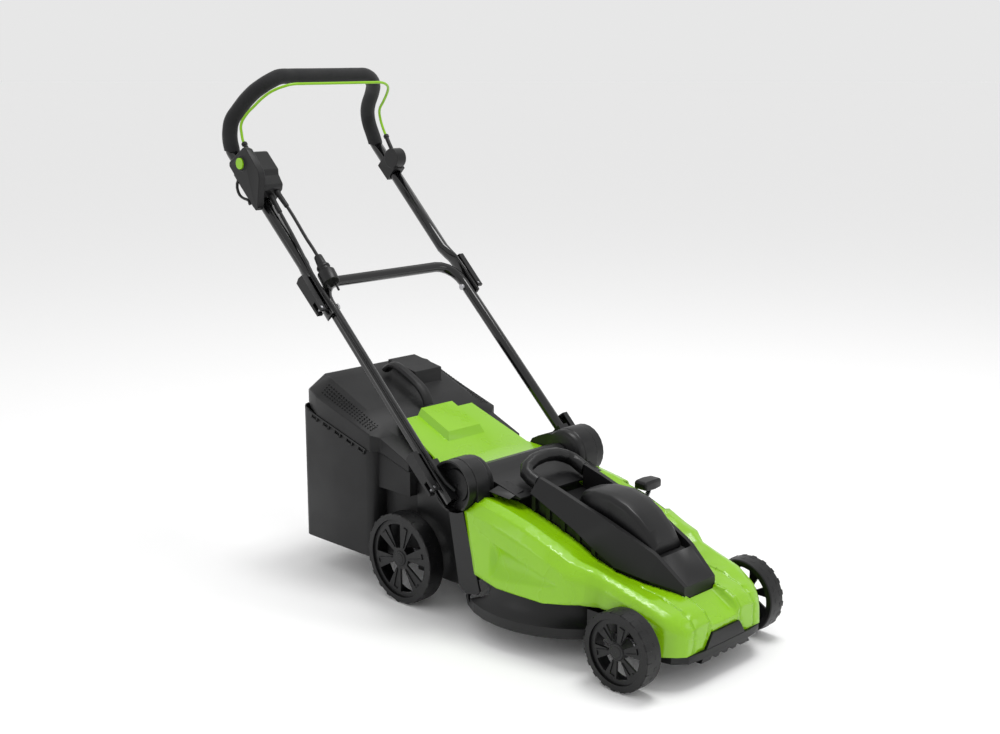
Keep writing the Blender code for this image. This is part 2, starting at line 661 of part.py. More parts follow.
def build_hinge_cover():
    low = DECK_REAR_TOP + GAP
    profile = [(-0.112, low), (-0.112, 0.262), (-0.124, 0.284), (-0.142, 0.288), (-0.155, 0.284),
               (-0.166, 0.273), (-0.212, 0.262), (BLADE_Y + 0.0315, 0.251), (BLADE_Y + 0.0315, 0.2478),
               (-0.1635, 0.2478), (-0.1635, low)]
    half = BARREL_IN_X - 0.0025
    cover = prism(profile, "X", -half, half)
    wedge = bmesh.new()
    for x in (0.090, 0.138):
        drop = 0.0 if x < 0.1 else 0.010
        for y, z in ((-0.1985, 0.268), (-0.1985, 0.2575), (-0.240, 0.259), (-0.240, 0.2495)):
            wedge.verts.new((min(x, 0.128) if y < -0.2 else x, y, z - (drop if z > 0.258 else 0.0)))
    bmesh.ops.convex_hull(wedge, input=wedge.verts)
    bmesh.ops.recalc_face_normals(wedge, faces=wedge.faces)
    lugs = both(box((0.080, -0.114, low), (0.090, FLAP_AXIS_Y + LUG_R, FLAP_AXIS_Z)))
    lugs += both(rod("X", FLAP_AXIS_Y, FLAP_AXIS_Z, 0.080, 0.090, LUG_R, 16))
    cover = joined(cover, *both(wedge), *lugs)
    hollow = prism([(-0.115, 0.2), (-0.118, 0.258), (-0.127, 0.280), (-0.142, 0.284), (-0.153, 0.281),
                    (-0.160, 0.273), (-0.160, 0.2)], "X", -half + 0.003, half - 0.003)
    bore = rod("X", FLAP_AXIS_Y, FLAP_AXIS_Z, -0.1, 0.1, ROD_R + RUN)
    return cut(cover, hollow, bore)


piece("hinge_cover", build_hinge_cover(), BLACK, 0.5)


def build_drum():
    depth = BARREL_OUT_X - BARREL_IN_X
    shape = [(0, 0), (BARREL_R - 0.013, 0), (BARREL_R - 0.004, 0.004), (BARREL_R - 0.0015, 0.010),
             (BARREL_R - 0.0015, 0.016), (BARREL_R, 0.018), (BARREL_R, depth), (0, depth)]
    drum = turned(shape, "X", (BARREL_IN_X, PIVOT_Y, PIVOT_Z), 24)
    low = DECK_REAR_TOP + GAP
    foot = box((BARREL_IN_X + 0.018, PIVOT_Y - BARREL_R, low), (BARREL_OUT_X, PIVOT_Y + 0.020, PIVOT_Z))
    shoulder = prism([(PIVOT_Y, low), (-0.054, low), (-0.054, 0.266), (-0.064, 0.282), (-0.082, 0.291),
                      (-0.105, 0.300), (PIVOT_Y, 0.300)], "X", FLAP_HALF + 0.0008, BARREL_OUT_X - 0.016)
    drum = joined(drum, foot, shoulder)
    room = rod("X", PIVOT_Y, PIVOT_Z, BARREL_IN_X + 0.012, BARREL_OUT_X + 0.01, BARREL_R - 0.0055, 24)
    return cut(drum, room)


drum = build_drum()
piece("hinge_drum_right", mirrored(drum), BLACK, 0.42)
piece("hinge_drum_left", drum, BLACK, 0.42)


def flap_top(y):
    return 0.274 + max(0.0, y + 0.050) * 0.42


def build_flap():
    rear = 0.088
    top = [(-0.101, 0.272), (-0.050, flap_top(-0.05)), (rear, flap_top(rear)), (rear + 0.004, flap_top(rear) - 0.004)]
    skin = top + [(rear + 0.002, flap_top(rear) - 0.0065), (rear - 0.002, flap_top(rear) - FLAP_T - 0.001),
                  (-0.048, 0.274 - FLAP_T), (-0.098, 0.269), (-0.098, 0.259), (-0.101, 0.259)]
    flap = prism(skin, "X", -FLAP_HALF, FLAP_HALF)
    rim = [(-0.080, 0.2725), (-0.050, flap_top(-0.05) - 0.001), (rear, flap_top(rear) - 0.001),
           (rear, flap_top(rear) - 0.013), (-0.050, flap_top(-0.05) - 0.013), (-0.080, 0.261)]
    rims = both(prism(rim, "X", FLAP_HALF - 0.003, FLAP_HALF))

    def frustum(inset, lift):
        rings = []
        for grow, height in ((0.0, -0.002), (0.008, lift)):
            x = 0.050 - inset - grow
            near, far = 0.0 + inset + grow, 0.090 - inset - grow * 0.3
            rings.append([Vector((a, b, flap_top(b) + height)) for a, b in
                          ((-x, near), (x, near), (x, far), (-x, far))])
        return lofted(rings)

    block = frustum(0.0, 0.014)
    hollow = frustum(0.003, 0.011)
    bmesh.ops.translate(hollow, verts=hollow.verts, vec=(0, 0, -0.002))
    knuckles = both(rod("X", FLAP_AXIS_Y, FLAP_AXIS_Z, 0.052, 0.078, KNUCKLE_R, 16))
    flap = joined(flap, *rims, block, *knuckles)
    corners = both(box((BARREL_IN_X - 0.003, -0.12, 0.24), (0.13, PIVOT_Y + BARREL_R + 0.004, 0.30)))
    lug_room = both(box((0.0790, -0.12, 0.24), (0.0910, FLAP_AXIS_Y + 0.011, 0.2715)))
    bore = rod("X", FLAP_AXIS_Y, FLAP_AXIS_Z, -0.1, 0.1, ROD_R + RUN)
    side_cut = both(prism([(FLAP_HALF - 0.020, rear + 0.01), (FLAP_HALF, -0.045), (FLAP_HALF + 0.02, -0.045),
                           (FLAP_HALF + 0.02, rear + 0.01)], "Z", 0.2, 0.4))
    return cut(flap, hollow, *corners, *lug_room, *side_cut, bore)


FLAP_AXIS = (0, FLAP_AXIS_Y, FLAP_AXIS_Z)
piece("rear_flap", build_flap(), GREEN, 0.3, origin=FLAP_AXIS)
piece("flap_rod", rod("X", FLAP_AXIS_Y, FLAP_AXIS_Z, -0.096, 0.096, ROD_R, 12),
      STEEL, 0.35, 1.0)


# ---------------------------------------------------------------- grass box
def seam_z(y):
    return SEAM_Z + SEAM_SLOPE * y


def bin_block(inset, low):
    """The box's outer shape, brought in by INSET, from LOW to well above the seam."""
    wide = box((-BIN_HALF + inset, BIN_STEP_Y + inset, low), (BIN_HALF - inset, BIN_REAR_Y - inset, 0.45))
    bmesh.ops.bevel(wide, geom=[e for e in wide.edges if abs(e.verts[0].co.z - e.verts[1].co.z) > 0.1],
                    offset=0.018 - inset, segments=3, profile=0.5, affect="EDGES", material=-1)
    reach = BIN_STEP_Y + 0.012
    step = box((-BIN_STEP_HALF + inset, BIN_FRONT_Y + inset, max(low, STEP_Z + inset)),
               (BIN_STEP_HALF - inset, reach + 0.01, 0.45))
    neck = box((-BIN_NECK_HALF + inset, BIN_FRONT_Y + inset, low), (BIN_NECK_HALF - inset, reach + 0.01, 0.45))
    return joined(wide, step, neck)


def above_seam(lift):
    return prism([(-0.1, seam_z(-0.1) + lift), (-0.1, 0.8), (0.5, 0.8), (0.5, seam_z(0.5) + lift)], "X", -0.3, 0.3)


def build_bin():
    mouth = box((-TUNNEL_HALF - 0.004, -0.02, TUNNEL_FLOOR - 0.004), (TUNNEL_HALF + 0.004, 0.012, TUNNEL_TOP + 0.004))
    return cut(bin_block(0.0, BIN_LOW), bin_block(BIN_WALL, BIN_LOW + BIN_WALL), above_seam(0.0), mouth)


def lid_rings(inset):
    """Sections of the lid from front to rear; each is (y, half width, shoulder z, crown z)."""
    front, rear = BIN_FRONT_Y + inset, BIN_REAR_Y + LID_PROUD - inset
    narrow = BIN_STEP_HALF + LID_PROUD - inset
    wide = BIN_HALF + LID_PROUD - inset
    step = BIN_STEP_Y

    def edge(y):
        return 0.283 + 0.31 * y - inset

    def crown(y):
        return LID_RISE + LID_SLOPE * y - inset

    rows = [(front, narrow, edge(front) - 0.012, crown(front) - 0.020),
            (step - 0.012, narrow, edge(step - 0.012) - 0.004, crown(step) - 0.022),
            (step + inset, wide, edge(step), crown(step) - 0.004), (0.150, wide, edge(0.150), crown(0.150)),
            (0.258, wide, edge(0.258), crown(0.258)), (0.290, wide - 0.010, edge(0.285), crown(0.268)),
            (rear - 0.004, wide - 0.022, 0.366 - inset, 0.376 - inset), (rear, wide - 0.026, 0.352 - inset, 0.358 - inset)]
    rings = []
    for y, half, shoulder, top in rows:
        foot = seam_z(y) - 0.012 - inset
        right = [(half, foot), (half, shoulder), (half - 0.040, top)]
        rings.append([Vector((x, y, z)) for x, z in right] + [Vector((-x, y, z)) for x, z in reversed(right)])
    return lofted(rings)


def build_lid():
    below = prism([(-0.1, seam_z(-0.1) + GAP), (-0.1, 0.0), (0.5, 0.0), (0.5, seam_z(0.5) + GAP)], "X", -0.3, 0.3)
    lid = cut(lid_rings(0.0), below)
    pad = box((0.030, 0.185, 0.330), (0.105, 0.270, 0.414))
    pad_cut = prism([(0.16, 0.388), (0.16, 0.5), (0.30, 0.5), (0.30, 0.412)], "X", 0.0, 0.2)
    lid = joined(lid, cut(pad, pad_cut))
    return cut(lid, lid_rings(BIN_WALL))


piece("grass_box_bin", build_bin(), BLACK, 0.55)
piece("grass_box_lid", build_lid(), BLACK, 0.5)


def build_box_handle():
    def over(y, lift):
        return Vector((0, y, LID_RISE + LID_SLOPE * y + lift))
    path = smooth([over(0.112, 0.0085), over(0.117, 0.020), over(0.135, 0.032), over(0.175, 0.036),
                   over(0.212, 0.033), over(0.232, 0.018), over(0.240, 0.0085)], 0.011)
    return swept(path, 0.0125, 0.0075, sides=10)


piece("grass_box_handle", build_box_handle(), BLACK, 0.45)


# ---------------------------------------------------------------- motor and blade
def build_motor_housing():
    base = DECK_TOP + GAP
    shape = [(0.058, base), (0.058, base + 0.006), (0.052, base + 0.010), (0.052, 0.196), (0.046, 0.204),
             (0.016, 0.204), (0.016, 0.200), (0.044, 0.200), (0.048, 0.194), (0.048, base)]
    return turned(shape, "Z", (0, BLADE_Y, 0), 18)


def build_rotor():
    seat = BLADE_Z + BLADE_T + GAP
    shape = [(0, seat), (0.020, seat), (0.020, seat + 0.006), (SHAFT_R, seat + 0.010), (SHAFT_R, 0.140),
             (0.031, 0.140), (0.031, 0.185), (SHAFT_R, 0.185), (SHAFT_R, 0.210), (0, 0.210)]
    return turned(shape, "Z", (0, BLADE_Y, 0), 16)


def build_fan():
    low = DECK_TOP + 0.006
    hub = turned([(SHAFT_R + GAP, low), (0.044, low), (0.044, low + 0.002), (0.012, low + 0.003),
                  (0.012, low + 0.010), (SHAFT_R + GAP, low + 0.010)], "Z", (0, BLADE_Y, 0), 16)
    vanes = []
    for i in range(6):
        vane = box((0.015, -0.001, low + 0.001), (0.043, 0.001, low + 0.009))
        turn = Matrix.Translation((0, BLADE_Y, 0)) @ Matrix.Rotation(math.tau * (i + 0.35) / 6, 4, "Z")
        bmesh.ops.transform(vane, matrix=turn, verts=vane.verts)
        vanes.append(vane)
    return joined(hub, *vanes)


def build_blade():
    half = BLADE_W / 2
    # share of the blade's radius, forward edge, rear edge, lift of the rear edge
    rows = [(-1.0, 0.55, 1.0, 0.014), (-0.72, 0.85, 1.0, 0.012), (-0.60, 1.0, 1.0, 0.0), (0.60, 1.0, 1.0, 0.0),
            (0.72, 1.0, 0.85, 0.012), (1.0, 1.0, 0.55, 0.014)]
    rings = []
    for share, ahead, behind, lift in rows:
        x = share * BLADE_R
        lift_front = lift if share > 0 else 0.0
        lift_rear = lift if share < 0 else 0.0
        y0, y1 = BLADE_Y - half * (behind if share > 0 else ahead), BLADE_Y + half * (ahead if share > 0 else behind)
        if share > 0:
            y0, y1 = BLADE_Y - half * ahead, BLADE_Y + half * behind
        rings.append([Vector((x, y0, BLADE_Z + lift_front)), Vector((x, y1, BLADE_Z + lift_rear)),
                      Vector((x, y1, BLADE_Z + BLADE_T + lift_rear)), Vector((x, y0, BLADE_Z + BLADE_T + lift_front))])
    return cut(lofted(rings), rod("Z", 0, BLADE_Y, BLADE_Z - 0.01, BLADE_Z + 0.02, 0.0045))


def build_bolt():
    top = BLADE_Z - GAP
    shape = [(0, top - 0.010), (0.0095, top - 0.010), (0.0095, top - 0.0035), (0.018, top - 0.003), (0.018, top),
             (0.004, top), (0.004, BLADE_Z + BLADE_T), (0, BLADE_Z + BLADE_T)]
    return turned(shape, "Z", (0, BLADE_Y, 0), 18)


SPINDLE = (0, BLADE_Y, BLADE_Z)
piece("motor_housing", build_motor_housing(), STEEL, 0.5, 0.8)
piece("rotor_shaft", build_rotor(), STEEL, 0.35, 1.0, SPINDLE)
piece("cooling_fan", build_fan(), BLACK, 0.5, origin=SPINDLE)
piece("blade", build_blade(), STEEL, 0.3, 1.0, SPINDLE)
piece("blade_bolt", build_bolt(), STEEL, 0.3, 1.0, SPINDLE)


# ---------------------------------------------------------------- wheels and swing axles
def build_rim(radius, inner_x):
    """A wheel body on the +X side: hub, pierced outer disc and outer ring."""
    ring_out = radius - TYRE_T - GAP
    outer_x = inner_x + WHEEL_WIDTH
    shape = [(STUB_R + RUN, 0.002), (0.0115, 0.002), (0.0115, WHEEL_WIDTH - 0.0115),
             (ring_out - 0.0065, WHEEL_WIDTH - 0.0085), (ring_out - 0.004, 0.001), (ring_out, 0.001),
             (ring_out, WHEEL_WIDTH - 0.001), (ring_out - 0.0060, WHEEL_WIDTH - 0.001),
             (ring_out - 0.0075, WHEEL_WIDTH - 0.0035), (CAP_R + 0.004, WHEEL_WIDTH - 0.0045),
             (CAP_R + 0.002, WHEEL_WIDTH - 0.0035), (STUB_R + RUN, WHEEL_WIDTH - 0.0035)]
    rim = turned(shape, "X", (inner_x, 0, 0), 24)
    windows = []
    near, far = CAP_R + 0.013, ring_out - 0.011
    for i in range(5):
        middle = math.tau * i / 5 + math.radians(18)
        spread_far, spread_near = math.radians(17), math.radians(13)
        outline = [(near, middle - spread_near), (far, middle - spread_far), (far * 1.02, middle),
                   (far, middle + spread_far), (near, middle + spread_near)]
        flat = [(r * math.cos(a), r * math.sin(a)) for r, a in outline]
        windows.append(prism(flat, "X", outer_x - 0.020, outer_x + 0.01))
    return cut(rim, *windows)


def build_tyre(radius, inner_x):
    inside = radius - TYRE_T
    shape = [(inside, 0.0015), (inside, WHEEL_WIDTH - 0.0015), (inside + 0.003, WHEEL_WIDTH),
             (radius - 0.003, WHEEL_WIDTH), (radius, WHEEL_WIDTH - 0.004), (radius, 0.004),
             (radius - 0.003, 0.0), (inside + 0.003, 0.0)]
    return turned(shape, "X", (inner_x, 0, 0), 24)


def build_wheel_cap(inner_x):
    face = inner_x + WHEEL_WIDTH
    shape = [(0, 0), (CAP_R, 0), (CAP_R, 0.0015), (CAP_R - 0.002, 0.0028), (0, 0.0028)]
    return turned(shape, "X", (face - 0.0031, 0, 0), 16)


def add_wheel(place_name, radius, outer_x, y, side):
    inner_x = outer_x - WHEEL_WIDTH
    pieces = (("rim", build_rim(radius, inner_x), DARK, 0.45), ("tyre", build_tyre(radius, inner_x), BLACK, 0.6),
              ("cap", build_wheel_cap(inner_x), BLACK, 0.4))
    for kind, shape, colour, roughness in pieces:
        if side < 0:
            flipped = mirrored(shape)
            shape.free()
            shape = flipped
        bmesh.ops.translate(shape, verts=shape.verts, vec=(0, y, radius))
        piece(f"{kind}_{place_name}", shape, colour, roughness, origin=(0, y, radius))


for side_name, side in (("right", -1), ("left", 1)):
    add_wheel(f"rear_{side_name}", REAR_WHEEL_R, REAR_OUTER_X, 0.0, side)
    add_wheel(f"front_{side_name}", FRONT_WHEEL_R, FRONT_OUTER_X, FRONT_Y, side)

LINK_X = (0.1400, 0.1430)


def build_axle(bar_y, wheel_y, radius, arm_x, outer_x, pin_x, pin_side):
    """A cranked axle: cross bar, two arms, two stubs and the height link's pin on the +X arm.

    PIN_SIDE puts that pin above (1) or below (-1) the bar, so that one link turns two arms opposite ways.
    """
    near, far = arm_x
    bar = rod("X", bar_y, radius, -near - 0.001, near + 0.001, BAR_R)
    side = []
    for sign in (-1, 1):
        arm = [(bar_y + 0.008, radius - 0.008), (bar_y + 0.008, radius + 0.008), (wheel_y - 0.008, radius + 0.008),
               (wheel_y - 0.008, radius - 0.008)]
        if wheel_y > bar_y:
            arm = [(bar_y - 0.008, radius - 0.008), (bar_y - 0.008, radius + 0.008), (wheel_y + 0.008, radius + 0.008),
                   (wheel_y + 0.008, radius - 0.008)]
        ends = sorted((sign * near, sign * far))
        side.append(prism(arm, "X", *ends))
        stub = sorted((sign * (far - 0.001), sign * (outer_x - 0.0045)))
        side.append(rod("X", wheel_y, radius, *stub, STUB_R))
    tip = radius + (LINK_R + 0.004) * pin_side
    lobe = [(bar_y - 0.006, radius), (bar_y - 0.006, tip), (bar_y + 0.006, tip), (bar_y + 0.006, radius)]
    side.append(prism(lobe, "X", near, far))
    side.append(rod("X", bar_y, radius + LINK_R * pin_side, *pin_x, PIN_R, 12))
    return joined(bar, *side)


REAR_ARM = (0.1345, 0.1390)
FRONT_ARM = (0.1440, 0.1485)
piece("rear_axle", build_axle(REAR_BAR_Y, 0.0, REAR_WHEEL_R, REAR_ARM, REAR_OUTER_X,
                              (0.138, LINK_X[1] + 0.001), 1),
      STEEL, 0.4, 1.0, (0, REAR_BAR_Y, REAR_WHEEL_R))
piece("front_axle", build_axle(FRONT_BAR_Y, FRONT_Y, FRONT_WHEEL_R, FRONT_ARM, FRONT_OUTER_X,
                               (LINK_X[0] - 0.001, 0.1450), -1), STEEL, 0.4, 1.0, (0, FRONT_BAR_Y, FRONT_WHEEL_R))


# ---------------------------------------------------------------- height lever and link
def band(points, half):
    """The outline of a strip of half width HALF along a line of (y, z) points."""
    left, right = [], []
    flat = [Vector(p) for p in points]
    for i, point in enumerate(flat):
        ahead = flat[min(i + 1, len(flat) - 1)] - flat[max(i - 1, 0)]
        ahead.normalize()
        across = Vector((-ahead.y, ahead.x)) * half
        reach = ahead * half * (-1 if i == 0 else 1 if i == len(flat) - 1 else 0)
        left.append(tuple(point + reach + across))
        right.append(tuple(point + reach - across))
    return left + right[::-1]


def build_link():
    """A flat link over the deck whose front pin slides up and down a slot as the arms swing."""
    rear, middle = (REAR_BAR_Y, REAR_WHEEL_R + LINK_R), (LEVER_Y, LEVER_Z + LINK_R)
    front = (FRONT_BAR_Y, FRONT_WHEEL_R - LINK_R)
    knee = (FRONT_BAR_Y + 0.046, 0.118)
    strip = prism(band([rear, middle, knee, (FRONT_BAR_Y + 0.036, 0.056), (FRONT_BAR_Y + 0.012, front[1])], 0.006),
                  "X", *LINK_X)
    slot_y, slot_z = PIN_R + RUN, PIN_R + LINK_PLAY
    eye = box((LINK_X[0], front[0] - slot_y - 0.004, front[1] - PIN_R - 0.005),
              (LINK_X[1], front[0] + 0.020, front[1] + slot_z + 0.004))
    slot = box((0.1, front[0] - slot_y, front[1] - PIN_R - RUN), (0.2, front[0] + slot_y, front[1] + slot_z))
    return cut(joined(strip, eye), *[rod("X", y, z, 0.1, 0.2, PIN_R + RUN, 12) for y, z in (rear, middle)], slot)


LEVER_X = (0.1435, 0.1475)
KNOB = Vector((0.165, LEVER_Y + 0.020, 0.234))


def build_lever():
    plate = prism(band([(LEVER_Y, LEVER_Z), (LEVER_Y + 0.011, 0.190)], 0.007), "X", *LEVER_X)
    stem = swept([(0.1455, LEVER_Y + 0.009, 0.181), (0.1470, LEVER_Y + 0.012, 0.196), (0.1560, LEVER_Y + 0.016, 0.210),
                  (KNOB.x, KNOB.y - 0.002, 0.2195), (KNOB.x + 0.001, KNOB.y, 0.2245)], 0.0025, 0.006, sides=8)
    pivot = rod("X", LEVER_Y, LEVER_Z, 0.1330, 0.1445, 0.004)
    pin = rod("X", LEVER_Y, LEVER_Z + LINK_R, LINK_X[0] - 0.001, 0.1445, PIN_R, 12)
    return joined(plate, stem, pivot, pin)


def build_knob():
    rings = []
    for x, half_y, half_z in ((-0.026, 0.011, 0.005), (-0.022, 0.0150, 0.0085), (0.0, 0.0158, 0.0095),
                              (0.022, 0.0140, 0.0082), (0.026, 0.010, 0.005)):
        corners = [(-half_y, -half_z), (half_y, -half_z), (half_y, half_z * 0.6), (half_y * 0.8, half_z),
                   (-half_y * 0.8, half_z), (-half_y, half_z * 0.6)]
        rings.append([KNOB + Vector((x, y, z)) for y, z in corners])
    knob = lofted(rings)
    socket = box((KNOB.x - 0.0055, KNOB.y - 0.0080, KNOB.z - 0.014), (KNOB.x + 0.0065, KNOB.y + 0.0080, KNOB.z - 0.0050))
    return cut(knob, socket)


LEVER_AXIS = (0, LEVER_Y, LEVER_Z)
piece("height_link", build_link(), STEEL, 0.4, 1.0)
piece("height_lever", build_lever(), STEEL, 0.4, 1.0, LEVER_AXIS)
piece("height_knob", build_knob(), BLACK, 0.45, origin=LEVER_AXIS)


# ---------------------------------------------------------------- lower handle
def build_lower_handle():
    path = [on_handle(LEG_X, LEG_END_S), on_handle(LEG_X, CROSSBAR_S - LEG_BEND_R)]
    for step in range(1, 6):
        angle = math.pi / 2 * step / 5
        path.append(on_handle(LEG_X - LEG_BEND_R * (1 - math.cos(angle)),
                              CROSSBAR_S - LEG_BEND_R * (1 - math.sin(angle))))
    path.append(on_handle(0, CROSSBAR_S))
    tube = tube_loop(path, [(LEG_R, LEG_R)] * len(path), TUBE_WALL)
    holes = (handle_rod(0.0, 0, -0.25, 0.25, PIN_R + RUN, 12), handle_rod(FOLD_S, 0, -0.25, 0.25, PIN_R + RUN, 12))
    return cut(tube, *holes)


FOLD_AXIS = (0, PIVOT_Y, PIVOT_Z)
piece("lower_handle", build_lower_handle(), BLACK, 0.25, 0.3, FOLD_AXIS)

WEB_X = (BARREL_OUT_X + 0.0006, LEG_X - LEG_R - GAP)
DISH_T = 0.0022
DISH_R = BARREL_R - 0.0007
BOSS_R = 0.0048
CHANNEL_S = (-0.036, 0.052)
CHANNEL_N = LEG_R + 0.0004
CHANNEL_T = 0.002
CHANNEL_OUT_X = LEG_X + 0.010


def build_bracket():
    outer = CHANNEL_N + CHANNEL_T
    section = [(WEB_X[0], -outer), (CHANNEL_OUT_X, -outer), (CHANNEL_OUT_X, -CHANNEL_N), (WEB_X[1], -CHANNEL_N),
               (WEB_X[1], CHANNEL_N), (CHANNEL_OUT_X, CHANNEL_N), (CHANNEL_OUT_X, outer), (WEB_X[0], outer)]
    channel = lofted([[on_handle(x, s, n) for x, n in section] for s in CHANNEL_S])
    back = BARREL_OUT_X - 0.035
    plate = WEB_X[0] - back
    rim = DISH_OUT_X - back
    dish = turned([(0, 0), (HUB_R - 0.004, 0), (HUB_R - 0.004, plate), (DISH_R, plate), (DISH_R, rim),
                   (BARREL_R - 0.0045, rim), (BARREL_R - 0.0045, plate + DISH_T), (HUB_R, plate + DISH_T),
                   (HUB_R - 0.002, plate + DISH_T + 0.004), (BOSS_R, plate + DISH_T + 0.004), (BOSS_R, plate + DISH_T + 0.0062),
                   (0, plate + DISH_T + 0.0062)], "X", (back, PIVOT_Y, PIVOT_Z), 24)
    passage = handle_prism([(-0.20, -outer - 0.001), (0.20, -outer - 0.001), (0.20, outer + 0.001), (-0.20, outer + 0.001)],
                           WEB_X[0] + 0.001, 0.25)
    journal = rod("X", PIVOT_Y, PIVOT_Z, BARREL_IN_X + 0.0125, back + 0.003, 0.010)
    return joined(cut(dish, passage), channel, journal)


bracket = build_bracket()
piece("handle_bracket_right", mirrored(bracket), BLACK, 0.4, 0.4, FOLD_AXIS)
piece("handle_bracket_left", bracket, BLACK, 0.4, 0.4, FOLD_AXIS)

CROSS_PIN = 0.0095


def build_clamp_bolt(s, start_x, pin_x, headed):
    """A clamp bolt on the +X side with the cross pin that its cam lever turns on."""
    shank = handle_rod(s, 0, start_x, pin_x, PIN_R, 12)
    centre = on_handle(pin_x, s)
    pin = turned([(0, -CROSS_PIN), (PIN_R, -CROSS_PIN), (PIN_R, CROSS_PIN), (0, CROSS_PIN)], FACING, centre, 12)
    extras = [pin]
    if headed:
        extras.append(handle_rod(s, 0, start_x - 0.004, start_x + 0.0005, 0.0065, 12))
    return joined(shank, *extras)


def build_cam(s, pin_x):
    """A cam lever on the +X side, lying up along its tube."""
    low, high = pin_x - 0.006, pin_x + 0.006
    body = handle_prism([(s - 0.0080, -0.0105), (s + CAM_LENGTH, -0.0125), (s + CAM_LENGTH + 0.003, 0.0),
                         (s + CAM_LENGTH, 0.0125), (s - 0.0080, 0.0105)], low, high)
    fork = handle_prism([(s - 0.02, -0.0045), (s + 0.016, -0.0045), (s + 0.016, 0.0045), (s - 0.02, 0.0045)],
                        low - 0.01, high + 0.01)
    scoop = handle_prism([(s + 0.022, -0.0085), (s + CAM_LENGTH - 0.006, -0.0100), (s + CAM_LENGTH - 0.006, 0.0100),
                          (s + 0.022, 0.0085)], low - 0.01, high - 0.004)
    centre = on_handle(pin_x, s)
    bore = turned([(0, -0.02), (PIN_R + RUN, -0.02), (PIN_R + RUN, 0.02), (0, 0.02)], FACING, centre, 12)
    return cut(body, fork, scoop, bore)


CLAMPS = (("lower", 0.0, WEB_X[1] + GAP, LOWER_PIN_X, False),
          ("upper", FOLD_S, LEG_X - LEG_R - 0.0006, UPPER_PIN_X, True))
for level, s, start_x, pin_x, headed in CLAMPS:
    bolt = build_clamp_bolt(s, start_x, pin_x, headed)
    cam = build_cam(s, pin_x)
    left = on_handle(pin_x, s)
    right = on_handle(-pin_x, s)
    piece(f"{level}_bolt_right", mirrored(bolt), STEEL, 0.35, 1.0, on_handle(0, s))
    piece(f"{level}_bolt_left", bolt, STEEL, 0.35, 1.0, on_handle(0, s))
    piece(f"{level}_cam_right", mirrored(cam), BLACK, 0.42, origin=right)
    piece(f"{level}_cam_left", cam, BLACK, 0.42, origin=left)


# ---------------------------------------------------------------- upper handle and grip
LOOP_POINTS = [(0.1890, 0.4940, 0.8610), (0.1850, 0.4990, 0.8810), (0.1800, 0.4975, 0.9000), (0.1685, 0.4740, 0.9355),
               (0.1470, 0.4385, 0.9690), (0.1300, 0.4275, 0.9810), (0.1050, 0.4240, 0.9885), (0.0500, 0.4235, 0.9890),
               (0.0, 0.4235, 0.9890)]
TUBE_S = CROSSBAR_S + 0.048
GRIP_FIT = 0.0013


def tube_x(s):
    """Middle of the upper tube, which widens a little towards the grip."""
    return UPPER_X + (GRIP_X - UPPER_X) * (s - TUBE_S) / (GRIP_S - TUBE_S)


def upper_path():
    """Half of the upper tube: flattened end, neck, straight run and loop, with section sizes."""
    flat, round_size = (FLAT_HALF, FLAT_TALL), (UPPER_R, UPPER_R)
    stations = [(FLAT_X, FOLD_S - 0.020, flat), (FLAT_X, FOLD_S + 0.030, flat), (FLAT_X, CROSSBAR_S + 0.008, flat),
                (FLAT_X - 0.001, CROSSBAR_S + 0.018, (0.0050, 0.0145)), (UPPER_X + 0.004, CROSSBAR_S + 0.032, (0.009, 0.0135)),
                (UPPER_X, TUBE_S, round_size), (tube_x(0.700), 0.700, round_size), (tube_x(GRIP_S - 0.004), GRIP_S - 0.004, round_size)]
    path = [on_handle(x, s) for x, s, size in stations]
    sizes = [size for x, s, size in stations]
    loop = smooth([on_handle(GRIP_X, GRIP_S), *LOOP_POINTS], 0.030)
    path += loop
    sizes += [round_size] * len(loop)
    return path, sizes


def build_upper_handle():
    path, sizes = upper_path()
    tube = tube_loop(path, sizes, TUBE_WALL)
    return cut(tube, handle_rod(FOLD_S, 0, -0.25, 0.25, PIN_R + RUN, 12))


def build_grip():
    path, sizes = upper_path()
    return tube_loop(path, [(GRIP_R, GRIP_R)] * len(path), GRIP_R - UPPER_R - GRIP_FIT, first=8)


JOINT_AXIS = on_handle(0, FOLD_S)
piece("upper_handle", build_upper_handle(), BLACK, 0.25, 0.3, JOINT_AXIS)
piece("handle_grip", build_grip(), FOAM, 0.85, origin=JOINT_AXIS)

# ---------------------------------------------------------------- switch box, bail and cords
BAIL_X = 0.185
BAIL_S = 0.7667
BAIL_N = 0.0319
BAIL_R = 0.003
BUTTON_S = 0.7721
BUTTON_N = 0.0391
BUTTON_R = 0.0115
BOX_OUT_X = -0.222
BOX_MID_X = -0.206
BOX_IN_X = -0.160


def bail_slot(low_x, high_x):
    """Room for the bail's end to swing in, from its pivot up through the housing's top."""
    pivot = on_handle(0, BAIL_S, BAIL_N)
    y, z = pivot.y, pivot.z
    return prism([(y - 0.009, z - 0.003), (y + 0.036, z + 0.074), (y + 0.068, z + 0.048), (y + 0.006, z - 0.007)],
                 "X", low_x, high_x)


def tube_bore(side):
    start = on_handle(side * tube_x(0.60), 0.60)
    end = on_handle(side * tube_x(0.83), 0.83)
    radius = UPPER_R + GAP
    length = (end - start).length
    return turned([(0, 0), (radius, 0), (radius, length), (0, length)], end - start, start, 20)


